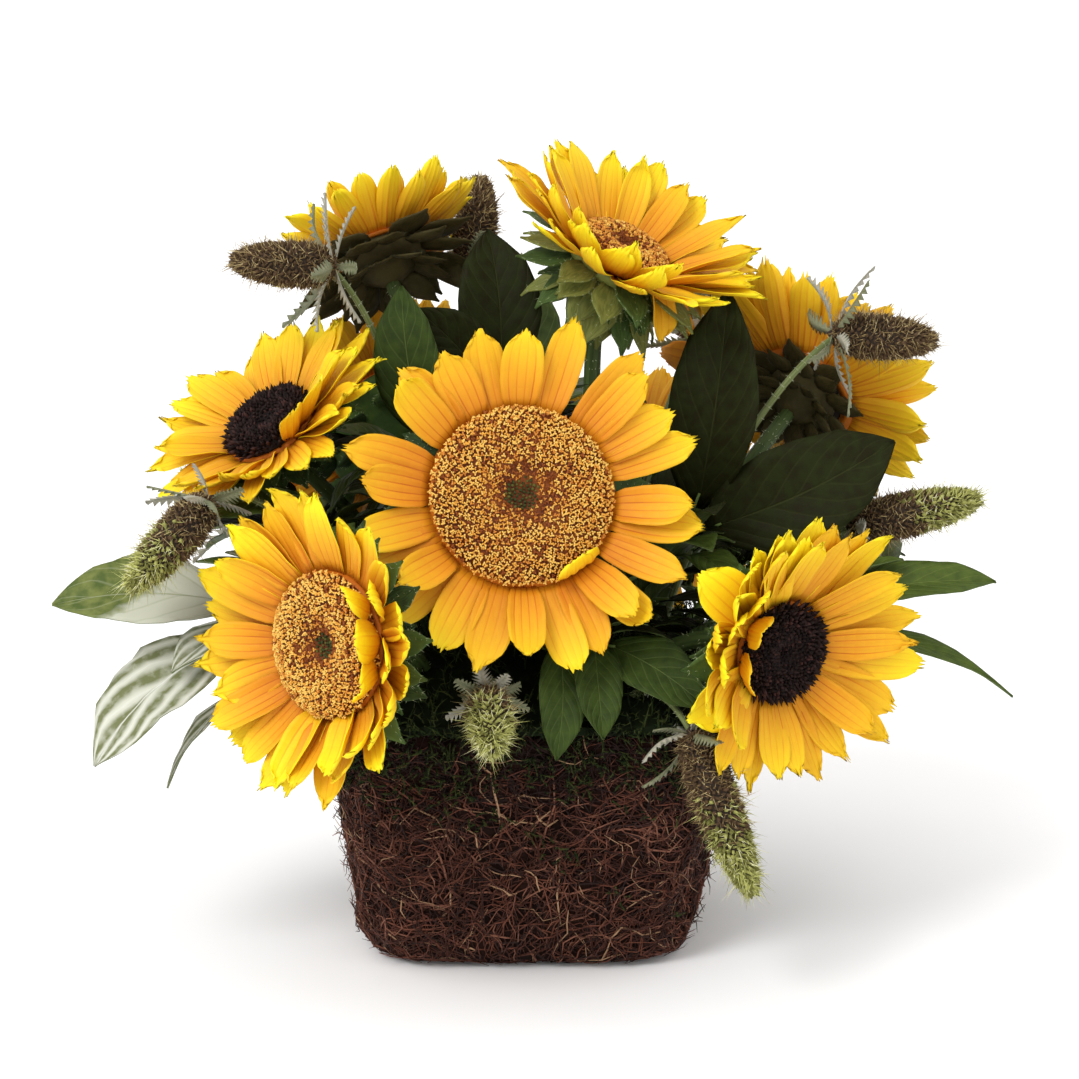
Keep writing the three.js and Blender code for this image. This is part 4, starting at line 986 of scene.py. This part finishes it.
hollies = Heap()
for k, h in enumerate(HOLLIES):
    place, node, seed = Place(h.neck, h.axis), "sea_holly_" + h.name, 2000 + 20 * k
    path = bezier(h.foot, h.knee, h.via, np.array(h.neck) + 2 * np.array(h.axis), steps=30)
    grow_stem(hollies, path, TWIG_RADIUS, TWIG_TAPER, tint=10, hair=1.1, per_mm=2.2)
    grow_cone(hollies, place, h.cone, h.ripe)
    for i in range(BRACTS + SMALL_BRACTS):
        small = i >= BRACTS
        turn = 2 * math.pi * (i + 0.3 * spread(seed + i + 0.1)) / BRACTS
        length = h.bract * (1 + 0.2 * spread(seed + i + 0.2))
        tilts = SMALL_TILTS if small else BRACT_TRIES
        tilts = [math.radians(tilt + 8 * spread(seed + i + 0.3)) for tilt in tilts]
        if small:
            turn, length = 2 * math.pi * (i * 0.27 + 0.4), 0.7 * length
        else:
            tilts = packed(node, tilts, lambda tilt: place(length * tilted(tilt), turn))
        grids = (place(bract_grid(length, t, seed + i), turn) for t in tilts)
        grid = first_clear(grids, [node] if small else None, 6)
        if grid is not None:
            hollies.add_shell(grid, thickness=0.35, tints=12 + i % 2)
build("sea_hollies", hollies, [
    finish("cone_shadow", 0x2B211A, (0.7, 0.9), 700, 0.4, 0.6, 0x3A2E24),
    *finishes((0.6, 0.85), 1200, 0.2, cone_umber=0x4C3A26, cone_plum=0x58432F),
    *finishes((0.5, 0.75), 1200, 0.25, bristle_brown=0x745E3E, bristle_grey=0x9C8658, bristle_pale=0xC2AE7C),
    *finishes((0.6, 0.85), 1200, 0.2, cone_olive=0x6C6C36),
    *finishes((0.5, 0.75), 1200, 0.25, bristle_olive=0x9C9C56, bristle_lime=0xCED07C, bristle_cream=0xEAE8B6),
    finish("twig_green", 0x5E6A3A, (0.5, 0.7), 24, 0.35, 0.5, 0x7A8452, along=3),
    finish("twig_hair", 0xB4BA98, (0.5, 0.7), 900),
    finish("bract_olive", 0x85866A, (0.45, 0.7), 18, 0.3, 0.5, 0x6A7050, along=3),
    finish("bract_silver", 0xB0AC9E, (0.45, 0.7), 18, 0.3, 0.5, 0x949480, along=3),
], named("sea_holly_", HOLLIES))

# Leaves

LEAF_STEPS = 17
LEAF_SIDES = np.array([-1, -0.8, -0.5, -0.07, 0.07, 0.5, 0.8, 1])
LEAF_SLANT = 0.1
LEAF_WIDTH_AT = [0, 0.08, 0.22, 0.4, 0.56, 0.78, 0.93, 1]
LEAF_WIDTHS = [0.12, 0.5, 0.84, 1, 0.97, 0.74, 0.3, 0.03]
NARROW = 14
STALK_STEPS = 7
# deep is a darker copy of green for leaves that sit in the flowers' shade: painted shade.
LOOKS = {"dark": 0, "green": 1, "silver": 2, "half": 5, "deep": 6}
UNDER = 3
STALK = 4
FINE_FLOOR = 98
FINE_LEAVES = ((0.8, 18, 0.28, 4000), (0.55, 14, 0.36, 5000))


def swung(vector, level, yaw, pitch):
    """A vector turned over a level line by pitch, then round the upright by yaw, both in degrees."""
    return turn_about(turn_about(np.array(vector, float), level, pitch), np.array([0, 0, 1.0]), yaw)


def leaf_ends(hub, root, tip, top, swing):
    """Where a leaf starts and ends, and the way its top side faces, once it is swung about its hub."""
    across = np.array(tip, float) - hub
    level = unit((-across[1], across[0], 0))
    start, end, up = (swung(way, level, *swing) for way in (root - hub, across, top))
    return start + hub, end + hub, up


def leaf_grid(start, end, top, wide, seed, plain, puffed):
    """A leaf's top side from its root to its tip: arched, folded a little at its midrib and wavy, with
    its skin puffed up between side veins that run forward."""
    reach = end - start
    length = np.linalg.norm(reach)
    side = unit(np.cross(reach, top))
    over = unit(np.cross(side, reach))
    u, off = LEAF_SIDES, np.abs(LEAF_SIDES)
    s = np.linspace(0, 1, LEAF_STEPS)[:, None]
    s = s + LEAF_SLANT * off * np.sin(math.pi * s)
    half = 0.5 * wide * np.interp(s, LEAF_WIDTH_AT, LEAF_WIDTHS)
    if wide < NARROW:
        half = 0.5 * wide * np.interp(s, [0, 0.2, 0.4, 0.7, 1], [0.1, 0.8, 1, 0.4, 0.02])
    arch = (0.14 if plain else 0.09) * length
    fold = 0.10 + 0.12 * random(seed + 0.3)
    steep, veins = (3.4, 5) if puffed > 1 else (2.6, 7)
    puffs = np.abs(np.sin(math.pi * (veins * s - steep * off)))
    edge = np.sin(13 * s + 9 * random(seed) + 2 * np.sign(u)) * off ** 3
    lift = (fold * off * half + (puffed * puffs * off ** 0.4 + 0.9 * edge)
            * np.sin(math.pi * np.minimum(s, 1)) ** 0.6 * wide / 34 - 0.5 * (off < 0.1))
    aside = 0.05 * length * spread(seed + 0.6) * np.sin(math.pi * s) + half * u
    lift = lift + 4 * arch * s * (1 - s)
    return start + reach * s[..., None] + side * aside[..., None] + over * lift[..., None]


def add_leaf(heap, grid, hub, look):
    rows, columns = grid.shape[:2]
    top = np.full((rows - 1) * (columns - 1), LOOKS[look])
    under = np.full(top.size, LOOKS["silver"] if look in ("half", "silver") else UNDER)
    rim = np.full(2 * (rows + columns - 2), UNDER if look != "dark" else LOOKS[look])
    heap.add_shell(grid, 0.5 - 0.2 * LEAF_SIDES ** 2, np.concatenate([top, under, rim]))
    path = np.linspace(hub, grid[1].mean(0), STALK_STEPS)
    sag = 0.06 * np.linalg.norm(grid[0].mean(0) - hub) * np.sin(np.linspace(0, math.pi, STALK_STEPS))
    path[:, 2] -= sag
    heap.add_tubes(path[None], np.linspace(0.85, 0.55, STALK_STEPS), STALK, sides=6)


def filler_leaves(path, count, seed, looks, start=0.5, size=1.0, slim=1.0):
    """Plain leaves that a spray bears on its way up, each a golden turn on from the last."""
    for i in range(count):
        share = start + (0.98 - start) * i / count
        at = share * (len(path) - 1)
        hub = path[int(at)] + (at % 1) * (path[min(int(at) + 1, len(path) - 1)] - path[int(at)])
        turn = GOLDEN_TURN * i + 6 * random(seed + i + 0.1)
        length = FILLER_LENGTH * size * (1 + 0.25 * spread(seed + i + 0.2))
        climb = 0.35 + 0.5 * spread(seed + i + 0.3)
        way = unit((math.cos(turn), math.sin(turn), climb))
        root = hub + 10 * way
        look = looks[(seed + i) % len(looks)]
        yield hub, root, root + length * way, 0.5 * length * slim, (0, 0, 1), look, seed + i


def grow_leaf(node, leaf, plain, swings=None, skip=0, floor=0):
    """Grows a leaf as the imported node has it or, by some swings, where it first has room over a floor."""
    hub, root, tip, wide, top, look, seed = leaf
    ends = [leaf_ends(hub, root, tip, top, swing) for swing in swings or SWINGS]
    if not swings:
        ends = packed(node, ends, lambda three: three[1])
    puffed = 1.5 if look == "silver" and not plain else 0.5
    grids = (leaf_grid(*three, wide, seed, plain, puffed) for three in ends)
    grids = (grid for grid in grids if grid[..., 2].min() > floor)
    grid = first_clear(grids, [node] if swings else None, skip)
    if grid is not None:
        add_leaf(leaves, grid, hub, look)
        stand(grid, "leaf")


leaves = Heap()
for k, s in enumerate(SPRAYS):
    hub, knee, node = np.array(s.hub, float), np.array(s.knee, float), "leaves_" + s.name
    path = bezier(s.foot, knee, knee + 0.6 * (hub - knee), hub, steps=120)
    leaves.add_tubes(path[None, ::5], np.linspace(TWIG_RADIUS, SPRAY_TIP, 24), STALK, sides=10)
    for i, leaf in enumerate(s.leaves):
        grow_leaf(node, (hub, *leaf, 40 * k + i), False)
    for leaf in filler_leaves(path, s.fillers, 3000 + 20 * k, ["silver"] if s.pale else ["dark", "green"]):
        grow_leaf(node, leaf, True)
    for i, leaf in enumerate(s.more):
        grow_leaf(node, (hub, *leaf, 60 * k + i), False, SWINGS, 2)
    for size, count, start, first in FINE_LEAVES:
        for leaf in filler_leaves(path, count, first + 20 * k, ["dark", "green", "dark"], start, size, 0.9):
            grow_leaf(node, leaf, True, SWINGS[::2], floor=FINE_FLOOR)
build("leaf_sprays", leaves, [
    leaf_finish("leaf_dark", 0x201F0E, 0x242A12, 0x34381C, (0.45, 0.65), 0.05),
    leaf_finish("leaf_green", 0x3C4B1A, 0x4C5C22, 0x6C7A3C, (0.42, 0.6), 0.16),
    leaf_finish("leaf_silver", 0xC6C7B8, 0x6B7048, 0xE6E6DC, (0.5, 0.7), 0.3, 2.5, 1.7, puffed=True),
    leaf_finish("leaf_under", 0x4A5A2E, 0x5A6C3A, 0x7F8E60, (0.5, 0.7), 0.25),
    finish("stalk_green", 0x5F7438, (0.5, 0.7), 600, 0.3, 0.4),
    leaf_finish("leaf_half", 0x4A5A24, 0x727A40, 0x9CA27E, (0.5, 0.7), 0.2, 4, 1, pale=0xC2C4B2),
    # A darker copy of leaf_green for leaves in shade: painted shade.
    leaf_finish("leaf_shaded_green", 0x2C3A16, 0x39491C, 0x5C6C3A, (0.45, 0.65), 0.1),
], named("leaves_", SPRAYS))

# Moss

MOSS_PROFILE = np.array([(77, 96.6), (77, 100), (68, 108), (49, 116), (24, 118.5), (0, 120)])
MOSS_SIDES = 96
MOSS_SPRIGS = 1700


def square(half, z, turn, relief=0):
    """Points of a square with rounded corners in some directions, with relief added to their reach."""
    powers = np.abs(np.cos(turn)) ** CORNER_POWER + np.abs(np.sin(turn)) ** CORNER_POWER
    return polar(1 / powers ** (1 / CORNER_POWER) * half + relief, turn, z)


def even_turns(count):
    """Directions whose points are even along a square's sides, at random."""
    place, side = rng.uniform(-1, 1, count), rng.integers(0, 4, count)
    return np.arctan(place) + side * np.pi / 2


def sprigs(heap, roots, out, length, tints):
    """Moss sprigs: a bent shoot with short leaves along it."""
    way = unit(out + 0.7 * rng.normal(size=roots.shape))
    bend = unit(np.cross(way, rng.normal(size=roots.shape)))
    s = np.linspace(0, 1, 4)[None, :, None]
    long = length * rng.uniform(0.6, 1.4, (len(roots), 1, 1))
    paths = roots[:, None] + long * (way[:, None] * s + 0.5 * bend[:, None] * s * s)
    heap.add_tubes(paths, np.array([0.42, 0.36, 0.28, 0.08]), tints)
    for k in range(6):
        spine = unit(way + 1.2 * rng.normal(size=roots.shape))
        hairs(heap, paths[:, 1 + k // 2], spine, length * 0.42, 0.32, 1 + k % 3, 0.2)


def moss_at(level):
    """Half the mound's width and its height at a level of its profile."""
    return (np.interp(level, np.arange(len(MOSS_PROFILE)), x) for x in MOSS_PROFILE.T)


moss = Heap()
turns, level = round_turn(MOSS_SIDES), np.linspace(0, len(MOSS_PROFILE) - 1, 26)[:, None]
half, z = moss_at(level)
bumps = 1.2 * np.sin(9 * turns + 3 * level) * np.sin(5 * level + 2) - 1.4
mound = square(half, z + bumps * (half < 76), turns)
mound = np.concatenate([mound[:1] * (0.8, 0.8, 0) + (0, 0, 92), mound])
moss.add(mound, grid_faces(len(mound), MOSS_SIDES, True), 0)
turn = even_turns(MOSS_SPRIGS)
level = rng.uniform(0, 1, MOSS_SPRIGS) ** 1.4 * 4.4
half, z = moss_at(level)
sprigs(moss, square(half, z - 1, turn), polar(1, turn, 0.4 + level * 0.6), length=6.5,
       tints=rng.integers(1, 4, MOSS_SPRIGS))
MOSS_FINISHES = [
    finish("moss_shadow", 0x10160A, (0.8, 0.95), 400, 0.6, 0.7, 0x1A2210, shine=0.1),
    *finishes((0.7, 0.9), 900, 0.15, moss_green=0x2A3815, moss_dark=0x1A2410, moss_olive=0x3E4520),
]
build("moss_bed", moss, MOSS_FINISHES, ["moss_mound"])

# The root basket

WALL_HEIGHTS = np.array([0, 4, *TUFT_HEIGHTS, BASKET_HEIGHT])
WALL_HALVES = np.interp(WALL_HEIGHTS, [0, 4, 12, 95.9, 96], [54, 62, 65, 77, 74])
INNER_PROFILE = np.array([(96, 68), (88, 66), (20, 56), (8, 52)])
MAT_SIDES = 132
MAT_HEIGHTS = [0.4, 2, 4, *np.linspace(8, 92, 30), 95]
MAT_DEPTH = 1.5
ROOT_FLOOR = 0.7
ROOT_STEPS = 5
ROOT_SHAPE = np.array([0.6, 1, 1, 0.9, 0.4])
ROOT_CODES = [0x3A1E16, 0x4E2A1F, 0x663A2A, 0x7E5240, 0xA68262, 0x24130E]
ROOT_SHARES = [0.27, 0.26, 0.2, 0.12, 0.04, 0.11]
# The darkest root colour, also dealt to the wall's top band as painted shade
SHADED_ROOT = 5
WALL_SPRIGS = 3600

tufts = np.zeros((len(WALL_HEIGHTS), TUFT_SIDES))
for row in range(len(TUFT_HEIGHTS)):
    tufts[row + 2] = [TUFT * spread(600 + 60 * row + i) for i in range(TUFT_SIDES)]
wall = square(WALL_HALVES[:, None], WALL_HEIGHTS[:, None], round_turn(TUFT_SIDES), tufts)


def wall_points(turn, z, off):
    """Points on the facets of the source's tufted wall, moved out by off."""
    row = np.clip(np.interp(z, WALL_HEIGHTS, np.arange(len(wall))), 0, len(wall) - 1.001)
    side = turn / (2 * np.pi) * TUFT_SIDES % TUFT_SIDES
    r, c = row.astype(int), side.astype(int) % TUFT_SIDES
    u, w = (side - c)[:, None], (row - r)[:, None]
    here, beside, above, over = (wall[r + up, (c + on) % TUFT_SIDES] for up in (0, 1) for on in (0, 1))
    below = u * (beside - here) + w * (over - beside)
    spot = here + np.where(u > w, below, w * (above - here) + u * (over - above))
    return spot + np.asarray(off).reshape(-1, 1) * polar(1, turn, 0)


def root_paths(count, length, off, wisp):
    """Roots that wander over the wall, at a height over it, and leave it towards their end by wisp."""
    turn, z = even_turns(count), rng.uniform(1, BASKET_HEIGHT - 2, count)
    heading = rng.uniform(0, 2 * np.pi, count)
    swerve = rng.normal(scale=0.45, size=count)
    long = length * rng.uniform(0.5, 1.5, count) / (ROOT_STEPS - 1)
    base, phase = rng.uniform(*off, count), any_turn(count)
    points = []
    for k in range(ROOT_STEPS):
        weave = base + 0.5 * np.sin(phase + 1.3 * k) + wisp * (k / (ROOT_STEPS - 1)) ** 2
        points.append(wall_points(turn, z, weave))
        heading = heading + swerve + rng.normal(scale=0.6, size=count)
        turn = turn + long * np.cos(heading) / 72
        z = z + long * np.sin(heading)
        heading = np.where((z < 1.2) | (z > BASKET_HEIGHT + 1), -heading, heading)
        z = np.clip(z, ROOT_FLOOR, BASKET_HEIGHT + 1.5)
    return np.stack(points, 1)


def moss_edge(turn):
    """How far down the wall the moss hangs."""
    return 74 + 7 * np.sin(7 * turn) * np.sin(3 * turn + 1) + rng.normal(scale=6, size=len(turn))


# The mat under the root strands stands for the deeper roots; its near-black brown is painted shade for the
# depths between the strands.
mat, turns = Heap(), round_turn(MAT_SIDES)
noise = rng.normal(scale=0.3, size=(len(MAT_HEIGHTS), MAT_SIDES))
outer = [wall_points(turns, np.full(MAT_SIDES, z), n - MAT_DEPTH) for z, n in zip(MAT_HEIGHTS, noise)]
outer, inner = np.stack(outer), square(INNER_PROFILE[:, 1:], INNER_PROFILE[:, :1], turns)
rings = np.concatenate([outer[:1] * (0, 0, 1), outer, inner, inner[-1:] * (0, 0, 1)])
mat.add(rings, grid_faces(len(rings), MAT_SIDES, True), 0)
build("basket_mat", mat, [
    finish("mat_shaded_brown", 0x180C08, (0.85, 0.98), 500, 0.8, 0.8, 0x24130D, shine=0.1),
], ["basket_wall"])
roots_inner, roots_outer = Heap(), Heap()
for heap, count, length, off, wisp, thick in (
        (roots_inner, 3100, 22, (-1.3, -0.3), 0, 0.33), (roots_outer, 4000, 15, (-0.8, 0.4), 0, 0.24),
        (roots_outer, 1000, 12, (-0.6, 0.4), 4, 0.18)):
    paths = root_paths(count, length, off, wisp)
    paths[..., 2] = np.maximum(paths[..., 2], ROOT_FLOOR)
    radii = rng.uniform(0.7, 1.5, (count, 1)) * thick * ROOT_SHAPE
    tints = rng.choice(len(ROOT_CODES), count, p=ROOT_SHARES)
    # Most roots higher than where the moss hangs get the darkest root colour: painted shade under the moss and
    # the flowers above.
    shaded_top = (paths[:, 2, 2] > moss_edge(rng.uniform(0, 2 * np.pi, count))) & (rng.random(count) < 0.75)
    tints[shaded_top] = SHADED_ROOT
    heap.add_tubes(paths, radii, tints)
root_finishes = [finish(f"root_{k}", code, (0.5, 0.85), 1500, 0.2, 0.4, shine=0.25)
                 for k, code in enumerate(ROOT_CODES)]
build("basket_roots_inner", roots_inner, root_finishes, ["basket_wall"])
build("basket_roots_outer", roots_outer, root_finishes, ["basket_wall"])
wall_moss = Heap()
turn, z = even_turns(WALL_SPRIGS), rng.uniform(0, 1, WALL_SPRIGS) ** 0.5 * (BASKET_HEIGHT - 4) + 2
patchy = (np.sin(3 * turn + 0.06 * z) * np.sin(5 * turn + 0.11 * z) > 0.62) & (rng.random(WALL_SPRIGS) < 0.4)
mossy = patchy | (z > moss_edge(turn))
turn, z = turn[mossy], z[mossy]
sprigs(wall_moss, wall_points(turn, z, 0.6), polar(1, turn, np.where(z > 80, -0.8, 0)), length=3.6,
       tints=rng.integers(1, 4, len(z)))
build("wall_moss", wall_moss, MOSS_FINISHES, ["moss_mound"])

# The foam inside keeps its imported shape

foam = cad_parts["foam_block"]
foam.data.materials.clear()
foam.data.materials.append(finish("foam_green", 0x2F5A34, (0.85, 0.98), 1400, 0.5, 0.8, 0x264A2B))

# Floor

floor_mesh = bpy.data.meshes.new("floor")
r = FLOOR_RADIUS
floor_mesh.from_pydata([(-r, -r, 0), (r, -r, 0), (r, r, 0), (-r, r, 0)], [], [(0, 1, 2, 3)])
floor_mesh.materials.append(finish("floor_white", 0xFDFCFC, (0.8, 0.95), 30, 0.05, 0.1))
floor = bpy.data.objects.new("floor", floor_mesh)
scene.collection.objects.link(floor)
